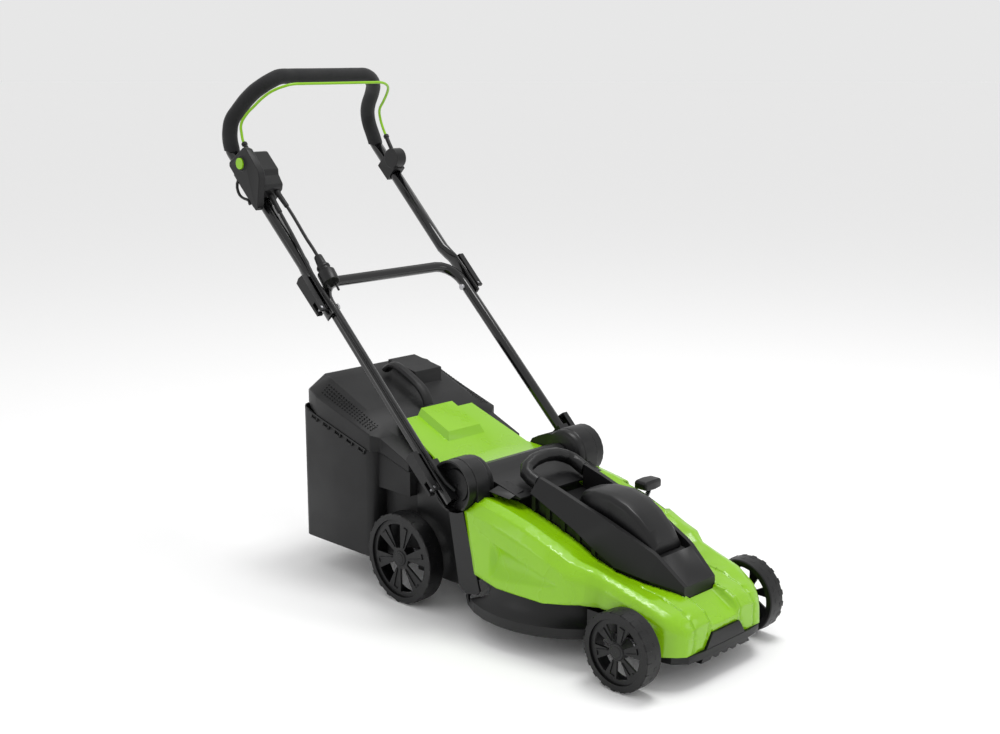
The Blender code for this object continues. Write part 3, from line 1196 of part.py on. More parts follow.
def build_switch_box():
    outer = [(0.679, 0.002), (0.798, 0.004), (0.803, 0.010), (0.790, 0.066), (0.780, 0.072), (0.724, 0.068),
             (0.712, 0.060), (0.679, 0.012)]
    inner = [(0.700, -0.0155), (0.790, -0.0155), (0.796, 0.000), (0.790, 0.052), (0.784, 0.0575), (0.736, 0.0575),
             (0.728, 0.050), (0.706, 0.046), (0.700, 0.036)]
    shell = joined(handle_prism(outer, BOX_OUT_X, BOX_MID_X), handle_prism(inner, BOX_MID_X - 0.001, BOX_IN_X))
    collar = handle_rod(BUTTON_S, BUTTON_N, BOX_OUT_X - 0.0035, BOX_OUT_X + 0.001, BUTTON_R + 0.0035, 18)
    shell = joined(shell, collar)
    pocket = handle_rod(BUTTON_S, BUTTON_N, BOX_OUT_X - 0.01, BOX_OUT_X + 0.0075, BUTTON_R + RUN, 18)
    return cut(shell, pocket, tube_bore(-1), bail_slot(-BAIL_X - 0.007, -BAIL_X + 0.005))


def build_bail_housing():
    clamp = handle_prism([(0.745, -0.0160), (0.788, -0.0160), (0.788, 0.020), (0.745, 0.020)], 0.1745, 0.2055)
    body = handle_rod(BAIL_S, BAIL_N - 0.002, 0.1725, 0.1985, 0.0215, 24)
    return cut(joined(clamp, body), tube_bore(1), bail_slot(BAIL_X - 0.005, BAIL_X + 0.007))


def build_bail():
    pivot = on_handle(BAIL_X, BAIL_S, BAIL_N)
    half = [pivot, (0.1855, 0.4320, 0.8400), (0.1885, 0.4480, 0.8590), (0.1870, 0.4560, 0.8750), (0.1840, 0.4610, 0.8950),
            (0.1765, 0.4530, 0.9130), (0.1610, 0.4090, 0.9510), (0.1340, 0.3820, 0.9700), (0.1160, 0.3760, 0.9740),
            (0.0600, 0.3755, 0.9745), (0.0, 0.3755, 0.9745)]
    path = smooth(half, 0.0165)
    path[-1].x = 0.0
    path += [Vector((-p.x, p.y, p.z)) for p in reversed(path[:-1])]
    return swept(path, BAIL_R, BAIL_R, sides=6)


BAIL_AXIS = on_handle(0, BAIL_S, BAIL_N)
piece("switch_box", build_switch_box(), BLACK, 0.45, origin=JOINT_AXIS)
piece("bail_housing", build_bail_housing(), BLACK, 0.45, origin=JOINT_AXIS)
piece("bail", build_bail(), GREEN, 0.35, origin=BAIL_AXIS)
piece("start_button", handle_rod(BUTTON_S, BUTTON_N, BOX_OUT_X - 0.0058, BOX_OUT_X + 0.0020, BUTTON_R, 20), GREEN, 0.35,
      origin=on_handle(BOX_OUT_X, BUTTON_S, BUTTON_N))


def relief(start, end, wide, narrow):
    """A tapered strain relief from a housing to the point where its cord comes out."""
    direction = (end - start).normalized()
    length = (end - start).length
    shape = [(0, 0), (wide, 0), (wide, 0.004), (wide * 0.85, 0.006), (narrow, length), (0, length)]
    return turned(shape, direction, start, 14)


MAINS_EXIT = on_handle(-0.1715, 0.6995, 0.0300)
MAINS_END = on_handle(-0.1695, 0.6600, 0.0305)
MOTOR_EXIT = on_handle(-0.1815, 0.6995, 0.0200)
MOTOR_END = on_handle(-0.1835, 0.6560, 0.0190)
PLUG_TOP = on_handle(-0.1710, 0.5290, 0.0315)
PLUG_TIP = on_handle(-0.1790, 0.4440, 0.0305)
piece("mains_relief", relief(MAINS_EXIT, MAINS_END, 0.0065, 0.0048), BLACK, 0.6, origin=JOINT_AXIS)
piece("motor_relief", relief(MOTOR_EXIT, MOTOR_END, 0.0062, 0.0050), BLACK, 0.6, origin=JOINT_AXIS)


def cord(name, points, radius):
    """A flexible lead as a round tube along a smooth route."""
    route = smooth(points, radius * 2 * 3.2)
    data = bpy.data.curves.new(name, "CURVE")
    data.dimensions = "3D"
    spline = data.splines.new("POLY")
    spline.points.add(len(route) - 1)
    for point, place_ in zip(spline.points, route):
        point.co = (*place_, 1.0)
    data.bevel_depth = radius
    data.bevel_resolution = 2
    data.use_fill_caps = True
    data.materials.append(material(name, BLACK, 0.6))
    item = bpy.data.objects.new(name, data)
    item.parent = mower
    bpy.context.collection.objects.link(item)


def beyond(start, end, distance):
    """A point past END, on the line from START."""
    return end + (end - start).normalized() * distance


cord("mains_lead", [beyond(MAINS_EXIT, MAINS_END, GAP), beyond(MAINS_EXIT, MAINS_END, 0.010),
                    on_handle(-0.1700, 0.6200, 0.0312), on_handle(-0.1718, 0.5750, 0.0315),
                    beyond(PLUG_TIP, PLUG_TOP, 0.008), beyond(PLUG_TIP, PLUG_TOP, GAP)], PIGTAIL_R)
SPLIT_S = CROSSBAR_S + 0.014
cord("motor_lead_upper", [beyond(MOTOR_EXIT, MOTOR_END, GAP), beyond(MOTOR_EXIT, MOTOR_END, 0.012),
                          on_handle(-0.1860, 0.600, 0.0182), on_handle(-0.1920, 0.540, 0.0190),
                          on_handle(-0.1965, SPLIT_S, 0.0192)], LEAD_R)
cord("motor_lead_lower", [on_handle(-0.1965, SPLIT_S - GAP, 0.0192), on_handle(-0.1970, 0.455, 0.0192),
                          on_handle(-0.1930, 0.400, 0.0175),
                          on_handle(-0.1890, 0.300, 0.0160), on_handle(-0.1890, 0.150, 0.0162),
                          on_handle(-0.1890, 0.070, 0.0180), on_handle(-0.1885, 0.030, 0.0195),
                          on_handle(-0.1865, 0.006, 0.0190), on_handle(-0.1820, -0.012, 0.0182),
                          on_handle(-0.1757, -0.023, 0.0180)], LEAD_R)


def build_plug():
    heading = (PLUG_TIP - PLUG_TOP).normalized()
    shape = [(0, 0), (0.0075, 0), (0.0085, 0.002), (0.0100, 0.022), (0.0135, 0.026), (0.0140, 0.030),
             (0.0120, 0.033), (0.0125, 0.037), (PLUG_R, 0.041), (PLUG_R, 0.066), (PLUG_R - 0.001, 0.067), (0, 0.067)]
    body = turned(shape, heading, PLUG_TOP, 16)
    across = heading.cross(FACING).normalized()
    pins = []
    for sign in (-1, 1):
        start = PLUG_TOP + heading * 0.066 + across * 0.0095 * sign
        pins.append(turned([(0, 0), (0.0024, 0), (0.0024, 0.019), (0, 0.020)], heading, start, 10))
    return joined(body, *pins)


piece("mains_plug", build_plug(), BLACK, 0.5, origin=FOLD_AXIS)
hook_path = smooth([on_handle(-0.213, 0.765, 0.0028), on_handle(-0.213, 0.766, -0.008), on_handle(-0.214, 0.757, -0.018),
                    on_handle(-0.214, 0.742, -0.022), on_handle(-0.213, 0.728, -0.017), on_handle(-0.212, 0.718, -0.010),
                    on_handle(-0.212, 0.708, -0.013)], 0.008)
piece("cord_hook", swept(hook_path, PIN_R, PIN_R, sides=6), BLACK, 0.45, origin=JOINT_AXIS)
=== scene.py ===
# %% [markdown]
# # A corded push lawn mower
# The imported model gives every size, place and joint. This lesson only dresses it: each hard part gets
# softened edges and a real finish, and the wheels, vents and clips get the detail that a plain solid lacks.

import json
import math

import bmesh
import bpy
from mathutils import Matrix, Vector


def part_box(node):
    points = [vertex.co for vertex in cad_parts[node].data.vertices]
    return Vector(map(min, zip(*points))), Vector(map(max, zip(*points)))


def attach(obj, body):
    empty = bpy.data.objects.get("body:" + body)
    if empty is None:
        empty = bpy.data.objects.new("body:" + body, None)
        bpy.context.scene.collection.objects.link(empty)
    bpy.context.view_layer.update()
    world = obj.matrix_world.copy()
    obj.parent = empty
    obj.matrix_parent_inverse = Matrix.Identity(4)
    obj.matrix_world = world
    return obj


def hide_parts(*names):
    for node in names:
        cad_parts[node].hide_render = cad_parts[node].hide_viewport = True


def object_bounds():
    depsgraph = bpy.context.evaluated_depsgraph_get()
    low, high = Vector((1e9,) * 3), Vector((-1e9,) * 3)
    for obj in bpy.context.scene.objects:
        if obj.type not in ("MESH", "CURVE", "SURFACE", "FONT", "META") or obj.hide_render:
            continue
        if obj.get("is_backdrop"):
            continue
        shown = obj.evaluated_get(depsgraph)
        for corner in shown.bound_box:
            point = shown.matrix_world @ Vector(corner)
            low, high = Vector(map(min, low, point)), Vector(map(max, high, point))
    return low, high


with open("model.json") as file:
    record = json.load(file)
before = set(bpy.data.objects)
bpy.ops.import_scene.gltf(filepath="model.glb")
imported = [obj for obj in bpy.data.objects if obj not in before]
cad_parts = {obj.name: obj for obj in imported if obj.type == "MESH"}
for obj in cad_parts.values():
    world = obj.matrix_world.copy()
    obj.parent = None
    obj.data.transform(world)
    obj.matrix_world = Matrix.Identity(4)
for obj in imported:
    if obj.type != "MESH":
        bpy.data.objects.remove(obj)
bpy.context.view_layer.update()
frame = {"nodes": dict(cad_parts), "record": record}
bodies = frame["record"]["behaviour"]["bodies"]
body_of = {node: body for body, nodes in bodies.items() for node in nodes}

# %% [markdown]
# ## Camera
# A mower is usually shown from its front corner, a little above the handle's joint. The camera stands about
# two metres away on the side of the switch box, looking down by an eighth of a right angle.

# %% Set the camera
AZIMUTH = math.radians(-45.38)
ELEVATION = math.radians(12.51)
back = Vector((math.sin(AZIMUTH) * math.cos(ELEVATION), -math.cos(AZIMUTH) * math.cos(ELEVATION),
               math.sin(ELEVATION)))
camera_data = bpy.data.cameras.new("camera")
camera_data.lens = 51.29
camera_data.sensor_width = 36.0
camera_data.clip_end = 50.0
camera = bpy.data.objects.new("camera", camera_data)
camera.location = (-1.888, -1.898, 1.039)
camera.rotation_mode = "QUATERNION"
camera.rotation_quaternion = (-back).to_track_quat("-Z", "Y")
bpy.context.collection.objects.link(camera)
bpy.context.scene.camera = camera
print("camera at", tuple(round(v, 3) for v in camera.location))

# %% [markdown]
# ## Colours and the node helper
# Paint charts give colours as hex numbers in sRGB, while a shader mixes light, so one function turns them
# to linear values. A second function adds a node with its settings and its links in one line.


# %% Two helpers for materials
def linear(hex_colour):
    values = [int(hex_colour[i:i + 2], 16) / 255 for i in (1, 3, 5)]
    return tuple(v / 12.92 if v <= 0.04045 else ((v + 0.055) / 1.055) ** 2.4 for v in values) + (1.0,)


def add_node(tree, kind, settings=None, links=None):
    node = tree.nodes.new(kind)
    for key, value in (settings or {}).items():
        if key in node.inputs:
            node.inputs[key].default_value = value
        else:
            setattr(node, key, value)
    for key, source in (links or {}).items():
        tree.links.new(source, node.inputs[key])
    return node


print("green in linear light:", [round(v, 3) for v in linear("#8CC600")])

# %% [markdown]
# ## A moulded plastic
# Nearly all of this mower is injection-moulded ABS or polypropylene. The steel mould leaves a fine grain,
# the gloss changes a little over large panels, and handling dulls it in soft patches. So one recipe with a
# grain size, a grain depth and two roughness limits serves all of them, and each finish keeps its own name.


# %% The recipe for moulded plastic
def moulded(name, light, dark, rough_low, rough_high, grain_mm, depth, patch_mm=90.0, coat=0.0, sheen=0.0,
             specular=0.35):
    """A moulded finish: GRAIN_MM is the width of a grain, PATCH_MM the width of a duller patch."""
    material = bpy.data.materials.new(name)
    material.use_nodes = True
    tree = material.node_tree
    shader = tree.nodes["Principled BSDF"]
    place = add_node(tree, "ShaderNodeTexCoord").outputs["Object"]
    patch = add_node(tree, "ShaderNodeTexNoise",
                     {"Scale": 1000.0 / patch_mm, "Detail": 3.0, "Roughness": 0.5}, {"Vector": place})
    grain = add_node(tree, "ShaderNodeTexNoise",
                     {"Scale": 1000.0 / grain_mm, "Detail": 2.0, "Roughness": 0.6}, {"Vector": place})
    colour = add_node(tree, "ShaderNodeMix", {"data_type": "RGBA"}, {0: patch.outputs["Fac"]})
    colour.inputs[6].default_value = linear(dark)
    colour.inputs[7].default_value = linear(light)
    rough = add_node(tree, "ShaderNodeMapRange",
                     {"From Min": 0.3, "From Max": 0.7, "To Min": rough_low, "To Max": rough_high},
                     {"Value": patch.outputs["Fac"]})
    bump = add_node(tree, "ShaderNodeBump", {"Strength": 1.0, "Distance": depth / 1000.0},
                    {"Height": grain.outputs["Fac"]})
    tree.links.new(colour.outputs[2], shader.inputs["Base Color"])
    tree.links.new(rough.outputs["Result"], shader.inputs["Roughness"])
    tree.links.new(bump.outputs["Normal"], shader.inputs["Normal"])
    shader.inputs["IOR"].default_value = 1.5
    shader.inputs["Specular IOR Level"].default_value = specular
    shader.inputs["Coat Weight"].default_value = coat
    shader.inputs["Coat Roughness"].default_value = 0.12
    shader.inputs["Sheen Weight"].default_value = sheen
    return material


# Polished moulds make the lime covers glossy; the grain is shallow, so it only breaks up the highlight.
lime_abs = moulded("lime ABS, polished mould", "#8CC600", "#84BC00", 0.24, 0.32, 1.2, 0.008, coat=0.25,
                  specular=0.5)
# The black covers come from an etched mould: an even satin with a fine grain.
satin_abs = moulded("black ABS, fine etched mould", "#131314", "#0F0F10", 0.34, 0.44, 1.0, 0.024)
# The grass box is thin polypropylene with a coarser, duller grain.
box_polypropylene = moulded("black polypropylene, coarse grain", "#161617", "#121213", 0.46, 0.58, 1.6, 0.050)
# Wheels are hard polypropylene that scuffs: duller, with larger patches.
wheel_polypropylene = moulded("black polypropylene, wheel", "#0F0F10", "#0B0B0C", 0.36, 0.48, 1.3, 0.030,
                              patch_mm=30.0)
# Closed-cell foam over the grip: very dull, with cells about a millimetre wide and a soft sheen.
grip_foam = moulded("closed-cell foam sleeve", "#1D1D1F", "#171718", 0.80, 0.92, 1.4, 0.200, patch_mm=20.0,
                    sheen=0.12)
# Cords and strain reliefs are soft vinyl.
cord_vinyl = moulded("black vinyl cord", "#141415", "#0F0F10", 0.45, 0.60, 1.2, 0.020, patch_mm=25.0)
# The bail is wire dipped in lime vinyl.
lime_wire = moulded("lime vinyl-dipped wire", "#86BC04", "#7CB002", 0.28, 0.38, 1.0, 0.008, patch_mm=40.0,
                    coat=0.2)
# The folding tubes are steel with a glossy powder coat, whose slight orange peel is a few millimetres wide.
powder_coat = moulded("gloss black powder coat on steel", "#0C0C0D", "#070708", 0.14, 0.20, 3.5, 0.012,
                      coat=0.4)
print("made", len(bpy.data.materials), "finishes so far")

# %% [markdown]
# ## Bare steel
# The axles, bolts and blade are zinc-plated steel. Rolling leaves fine lines about a third of a millimetre
# apart along a bar; they are drawn a little coarser so that they show.


# %% Zinc-plated steel and the motor's can
def plated(name, light, dark, roughness, line_mm):
    material = bpy.data.materials.new(name)
    material.use_nodes = True
    tree = material.node_tree
    shader = tree.nodes["Principled BSDF"]
    place = add_node(tree, "ShaderNodeTexCoord").outputs["Object"]
    along = add_node(tree, "ShaderNodeMapping", {"Scale": (40.0, 1000.0 / line_mm, 1000.0 / line_mm)},
                     {"Vector": place})
    lines = add_node(tree, "ShaderNodeTexNoise", {"Scale": 1.0, "Detail": 2.0},
                     {"Vector": along.outputs["Vector"]})
    colour = add_node(tree, "ShaderNodeMix", {"data_type": "RGBA"}, {0: lines.outputs["Fac"]})
    colour.inputs[6].default_value = linear(dark)
    colour.inputs[7].default_value = linear(light)
    rough = add_node(tree, "ShaderNodeMapRange", {"To Min": roughness - 0.08, "To Max": roughness + 0.08},
                     {"Value": lines.outputs["Fac"]})
    tree.links.new(colour.outputs[2], shader.inputs["Base Color"])
    tree.links.new(rough.outputs["Result"], shader.inputs["Roughness"])
    shader.inputs["Metallic"].default_value = 1.0
    return material


zinc_steel = plated("zinc-plated steel", "#C2C2C4", "#A2A2A6", 0.36, 0.8)
motor_steel = plated("painted motor can", "#6E6E70", "#58585A", 0.45, 1.5)
finish_of_slot = {"black_plastic": satin_abs, "green_plastic": lime_abs, "steel": zinc_steel,
                  "black_tube": powder_coat,
                  "foam": grip_foam, "cord_rubber": cord_vinyl, "tread": wheel_polypropylene,
                  "motor": motor_steel,
                  "green_wire": lime_wire}
slot_of = {s["node"]: s["material_slot"] for s in frame["record"]["subparts"]}
print("finishes:", ", ".join(sorted({m.name for m in finish_of_slot.values()})))

# %% [markdown]
# ## Softened edges
# No moulded or bent part has a knife edge. A copy of each solid is merged into one skin, its flat areas are
# made whole again, and a narrow bevel rounds every sharp corner, so light runs along it as on the real thing.
# Round tubes need no bevel, only smooth shading across their facets.


# %% A finished copy of a solid
def put(piece, body, finish):
    """Give PIECE its finish and let it ride on BODY."""
    piece.data.materials.clear()
    piece.data.materials.append(finish)
    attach(piece, body)
    return piece


def shade(mesh, angle):
    mesh.polygons.foreach_set("use_smooth", [True] * len(mesh.polygons))
    mesh.set_sharp_from_angle(angle=math.radians(angle))


def finished(node, finish=None, width=0.0008, limit=32.0, smooth=32.0, clamp=True):
    shape = bmesh.new()
    shape.from_mesh(frame["nodes"][node].data)
    bmesh.ops.remove_doubles(shape, verts=shape.verts, dist=2e-6)
    bmesh.ops.dissolve_limit(shape, angle_limit=math.radians(0.6), verts=shape.verts, edges=shape.edges)
    mesh = bpy.data.meshes.new(node + "_skin")
    shape.to_mesh(mesh)
    shape.free()
    shade(mesh, smooth)
    piece = bpy.data.objects.new(node + "_skin", mesh)
    bpy.context.collection.objects.link(piece)
    if width:
        edge = piece.modifiers.new("softened edges", "BEVEL")
        edge.width = width
        edge.segments = 2
        edge.limit_method = "ANGLE"
        edge.angle_limit = math.radians(limit)
        edge.use_clamp_overlap = clamp
        edge.harden_normals = True
    put(piece, body_of[node], finish or finish_of_slot[slot_of[node]])
    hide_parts(node)
    return piece


wheel_nodes = [n for n in body_of if n.startswith(("rim_", "tyre_", "cap_"))]
remade = set(wheel_nodes) | {"handle_grip", "bail", "deck_cover"}
tube_nodes = {"upper_handle": 50, "lower_handle": 50, "cord_hook": 75, "mains_lead": 60,
              "motor_lead_upper": 60, "motor_lead_lower": 60, "flap_rod": 50}
hidden_nodes = {"cooling_fan", "rotor_shaft", "motor_housing", "blade_bolt"}
wide_edges = {"switch_box": 0.0022, "hood_cap": 0.0020, "height_knob": 0.0016, "grass_box_lid": 0.0020,
              "bail_housing": 0.0012, "hinge_drum_right": 0.0012, "hinge_drum_left": 0.0012}
skins = {}
for node in sorted(set(body_of) - remade):
    if node in tube_nodes:
        skins[node] = finished(node, width=0, smooth=tube_nodes[node])
    elif node in hidden_nodes:
        skins[node] = finished(node, width=0)
    elif node in wide_edges:
        skins[node] = finished(node, width=wide_edges[node], smooth=40, clamp=False)
    else:
        skins[node] = finished(node)
for node in ("grass_box_bin", "grass_box_lid", "grass_box_handle"):
    skins[node].data.materials[0] = box_polypropylene
for node in ("handle_bracket_right", "handle_bracket_left"):
    skins[node].data.materials[0] = satin_abs
print("softened", len(skins), "parts")

# %% [markdown]
# ## Wheels
# A mower wheel is one hard moulding: a thin web with wedge openings, closed wedges stiffened by an L-shaped
# rib, a hub, and a wide ring whose tread carries short lugs. The web is spun as a flat ring, its openings are
# simply faces left out, and solidify gives it a wall, so the openings are real and light passes through them.


# %% Helpers for new pieces
def piece_of(shape, name, finish, body, replaced=(), smooth=35, bevel=0.0):
    """A bmesh as a finished piece of the scene, riding on BODY."""
    bmesh.ops.remove_doubles(shape, verts=shape.verts, dist=1e-6)
    bmesh.ops.recalc_face_normals(shape, faces=shape.faces)
    mesh = bpy.data.meshes.new(name)
    shape.to_mesh(mesh)
    shape.free()
    shade(mesh, smooth)
    piece = bpy.data.objects.new(name, mesh)
    bpy.context.collection.objects.link(piece)
    if bevel:
        edge = piece.modifiers.new("softened edges", "BEVEL")
        edge.width = bevel
        edge.segments = 2
        edge.angle_limit = math.radians(35)
        edge.harden_normals = True
    put(piece, body, finish)
    if replaced:
        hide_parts(*replaced)
    return piece


def add_block(shape, size, matrix):
    """A box of SIZE added to SHAPE, placed by MATRIX; returns its corners."""
    made = bmesh.ops.create_cube(shape, size=1.0)["verts"]
    bmesh.ops.scale(shape, vec=size, verts=made)
    bmesh.ops.transform(shape, matrix=matrix, verts=made)
    return made


def add_spun(shape, profile, steps, closed=True):
    """PROFILE, a list of (x, radius), spun a full turn about the X axis."""
    corners = [shape.verts.new((x, 0.0, r)) for x, r in profile]
    pairs = list(zip(corners, corners[1:])) + ([(corners[-1], corners[0])] if closed else [])
    edges = [shape.edges.new(pair) for pair in pairs]
    made = bmesh.ops.spin(shape, geom=corners + edges, cent=(0, 0, 0), axis=(1, 0, 0), dvec=(0, 0, 0),
                          angle=math.tau, steps=steps, use_merge=True)
    return made["geom_last"]


print("helpers ready")


# %% One wheel
def build_web(shape, radius, face_x):
    """The web, with every other wedge of its middle ring left open."""
    rings = [0.0135, 0.021 * radius / 0.089, radius - 0.0215, radius - 0.0125]
    web = bmesh.new()
    add_spun(web, [(face_x, r) for r in rings], 72, closed=False)
    bmesh.ops.remove_doubles(web, verts=web.verts, dist=1e-6)
    open_faces = []
    for face in web.faces:
        middle = face.calc_center_median()
        reach = math.hypot(middle.y, middle.z)
        turn = math.degrees(math.atan2(middle.z, middle.y)) % 60.0
        if rings[1] < reach < rings[2] and turn < 30.0:
            open_faces.append(face)
    bmesh.ops.delete(web, geom=open_faces, context="FACES")
    bmesh.ops.recalc_face_normals(web, faces=web.faces)
    bmesh.ops.solidify(web, geom=web.faces[:], thickness=0.0045)
    mesh = bpy.data.meshes.new("web")
    web.to_mesh(mesh)
    web.free()
    shape.from_mesh(mesh)
    bpy.data.meshes.remove(mesh)
    return rings


def add_ribs(shape, rings, face_x):
    """An L-shaped rib standing on each closed wedge."""
    length = rings[2] - rings[1] - 0.006
    for k in range(6):
        turn = Matrix.Rotation(math.radians(60 * k + 45), 4, "X")
        bar = turn @ Matrix.Translation((face_x + 0.0008, rings[1] + 0.003 + length / 2, 0.0030))
        add_block(shape, (0.0022, length, 0.0022), bar)
        foot = turn @ Matrix.Translation((face_x + 0.0008, rings[2] - 0.0035, -0.0015))
        add_block(shape, (0.0022, 0.0022, 0.0100), foot)


def add_lugs(shape, radius, outer):
    """Twenty pairs of tread lugs, one of each pair wrapping the outer edge."""
    for k in range(20):
        turn = Matrix.Rotation(math.radians(18 * k + 4), 4, "X")
        add_block(shape, (0.0120, 0.0095, 0.0030),
                  turn @ Matrix.Translation((outer - 0.0064, 0, radius - 0.0018)))
        add_block(shape, (0.0060, 0.0080, 0.0030), turn @ Matrix.Rotation(0.157, 4, "X")
                  @ Matrix.Translation((outer - 0.0230, 0, radius - 0.0018)))


def add_wheel(place, radius, outer, body):
    """A wheel whose outer side is at x = OUTER, built about its own axle."""
    side = math.copysign(1.0, outer)
    low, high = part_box("tyre_" + place)
    centre = (low + high) / 2
    reach = abs(outer)
    tread = radius - 0.0006
    shape = bmesh.new()
    add_spun(shape, [(reach - 0.0005, radius - 0.0125), (reach - 0.0005, tread - 0.0022),
                     (reach - 0.0022, tread - 0.0004),
                     (reach - 0.0100, tread), (reach - 0.0280, tread), (reach - 0.0360, tread - 0.0004),
                     (reach - 0.0378, tread - 0.0022), (reach - 0.0378, radius - 0.0125)], 96)
    rings = build_web(shape, radius, reach - 0.0050)
    add_ribs(shape, rings, reach - 0.0050)
    add_lugs(shape, radius, reach)
    hub = [(reach - 0.0020, 0.0002), (reach - 0.0020, 0.0095), (reach - 0.0030, 0.0105),
           (reach - 0.0030, 0.0138),
           (reach - 0.0045, 0.0150), (reach - 0.0330, 0.0150), (reach - 0.0330, 0.0060)]
    add_spun(shape, hub, 40, closed=False)
    bmesh.ops.scale(shape, vec=(side, 1, 1), verts=shape.verts)
    bmesh.ops.translate(shape, vec=(0, centre.y, centre.z), verts=shape.verts)
    return piece_of(shape, "wheel_" + place, wheel_polypropylene, body,
                    ("rim_" + place, "tyre_" + place, "cap_" + place), bevel=0.0004)


for place in ("rear_right", "rear_left", "front_right", "front_left"):
    low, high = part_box("tyre_" + place)
    wheel = add_wheel(place, (high.z - low.z) / 2, low.x if low.x < 0 else high.x, "wheel_" + place)
    print(wheel.name, len(wheel.data.polygons), "faces")

# %% [markdown]
# ## The green cover
# Between its plain panels the real cover has a long scoop behind each front wheel and two fine grooves on
# each side of the nose, which stiffen the moulding. The cover's skin is first cut finer where a detail will
# be. Then the grooves' points move inwards along their normals, and the scoops' points, on both sides of the
# wall, move straight towards the middle of the mower.


# %% Finer mesh where it is needed
SHIFT_Y = 0.056                     # the rear axle stands this far behind the middle of the box


def denser(shape, wanted, passes=9):
    for _ in range(passes):
        long_edges = [e for e in shape.edges if e.calc_length() > wanted((e.verts[0].co + e.verts[1].co) / 2)]
        if not long_edges:
            break
        bmesh.ops.subdivide_edges(shape, edges=long_edges, cuts=1)
        bmesh.ops.triangulate(shape, faces=[f for f in shape.faces if len(f.verts) > 3])


def scoop_depth(y, z):
    """A teardrop, deepest at its upright rear edge and running out to a point in front."""
    along = (-0.244 - y) / 0.158
    if not 0.0 < along < 1.0:
        return 0.0
    middle = 0.150 - 0.010 * along
    half = 0.034 * (1.0 - along) ** 0.75
    across = abs(z - middle) / half
    if across >= 1.0:
        return 0.0
    edge = min(1.0, along / 0.06)
    return 0.0125 * edge * (1.0 - along) ** 0.7 * (1.0 - across ** 2)


def groove_depth(x, y):
    off = min(abs(abs(x) - 0.045), abs(abs(x) - 0.085))
    if off > 0.0026 or y > -0.505:
        return 0.0
    return 0.0019 * (1.0 - (off / 0.0026) ** 2) * min(1.0, (-0.505 - y) / 0.012)


# %% The cover itself
def wanted_length(point):
    y = point.y - SHIFT_Y
    near = min(abs(abs(point.x) - 0.045), abs(abs(point.x) - 0.085))
    if y < -0.495 and near < 0.004:
        return 0.0016
    if -0.41 < y < -0.235 and 0.105 < point.z < 0.19 and abs(point.x) > 0.10:
        return 0.0045
    return 0.012


cover = bmesh.new()
cover.from_mesh(frame["nodes"]["deck_cover"].data)
bmesh.ops.remove_doubles(cover, verts=cover.verts, dist=2e-6)
denser(cover, wanted_length)
cover.normal_update()
moves = []
for vert in cover.verts:
    y = vert.co.y - SHIFT_Y
    depth = 0.0
    if abs(vert.co.x) > 0.10:
        depth = scoop_depth(y, vert.co.z)
    if depth:
        moves.append((vert, Vector((-math.copysign(depth, vert.co.x), 0.0, 0.0))))
    elif vert.normal.z > 0.15 or vert.normal.y < -0.15:
        depth = groove_depth(vert.co.x, y)
        moves.append((vert, vert.normal * -depth))
for vert, move in moves:
    vert.co += move
cover_piece = piece_of(cover, "deck_cover_shell", lime_abs, body_of["deck_cover"],
                       ("deck_cover",), smooth=38)
print("moved", len(moves), "points;", len(cover_piece.data.polygons), "faces")

# %% [markdown]
# ## Grip and bail
# The grip is a foam sleeve over the bent top of the tube, and the bail is one long wire beside it. Both are
# round and bend gently, so each is a curve with a round bevel, made into a mesh. Its points lie where the
# solids have them, and automatic handles carry the curve smoothly through them.


# %% A round bar along smooth points
def on_handle(x, along, above):
    """A point ALONG the handle's slope from its lower bolts and ABOVE it."""
    return Vector((x, -0.064 + along * 0.72267 - above * 0.69119, 0.259 + along * 0.69119 + above * 0.72267))


def round_bar(name, points, radius, finish, body, replaced=(), steps=8, rings=6):
    data = bpy.data.curves.new(name, "CURVE")
    data.dimensions = "3D"
    data.resolution_u = steps
    data.bevel_depth = radius
    data.bevel_resolution = rings
    data.use_fill_caps = True
    spline = data.splines.new("BEZIER")
    spline.bezier_points.add(len(points) - 1)
    for knot, point in zip(spline.bezier_points, points):
        knot.co = point
        knot.handle_left_type = "AUTO"
        knot.handle_right_type = "AUTO"
    drawn = bpy.data.objects.new(name, data)
    bpy.context.collection.objects.link(drawn)
    bpy.context.view_layer.update()
    mesh = bpy.data.meshes.new_from_object(drawn.evaluated_get(bpy.context.evaluated_depsgraph_get()))
    bpy.data.objects.remove(drawn)
    shape = bmesh.new()
    shape.from_mesh(mesh)
    bpy.data.meshes.remove(mesh)
    return piece_of(shape, name, finish, body, replaced, smooth=60)


def across(half):
    """The other half of a line that is the same on both sides of the mower."""
    return half + [Vector((-p.x, p.y, p.z)) for p in reversed(half) if abs(p.x) > 1e-6]


# %% Foam grip
grip_half = [Vector((x, y + SHIFT_Y, z)) for x, y, z in (
    (0.1908, 0.4780, 0.8265), (0.1905, 0.4860, 0.8410), (0.1890, 0.4935, 0.8610), (0.1850, 0.4985, 0.8810),
    (0.1800, 0.4975, 0.9010),
    (0.1730, 0.4880, 0.9180), (0.1590, 0.4550, 0.9540), (0.1470, 0.4385, 0.9690), (0.1300, 0.4275, 0.9810),
    (0.1120, 0.4240, 0.9880), (0.0900, 0.4235, 0.9888), (0.0400, 0.4235, 0.9888), (0.0, 0.4235, 0.9888))]
low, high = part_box("handle_grip")
grip_half[0] = on_handle(0.1908, 0.8389, 0.0)
grip = round_bar("foam_grip", across(grip_half), 0.0157, grip_foam, body_of["handle_grip"],
                 ("handle_grip",))
print("grip box", [round(v, 4) for v in low], [round(v, 4) for v in high], "faces", len(grip.data.polygons))

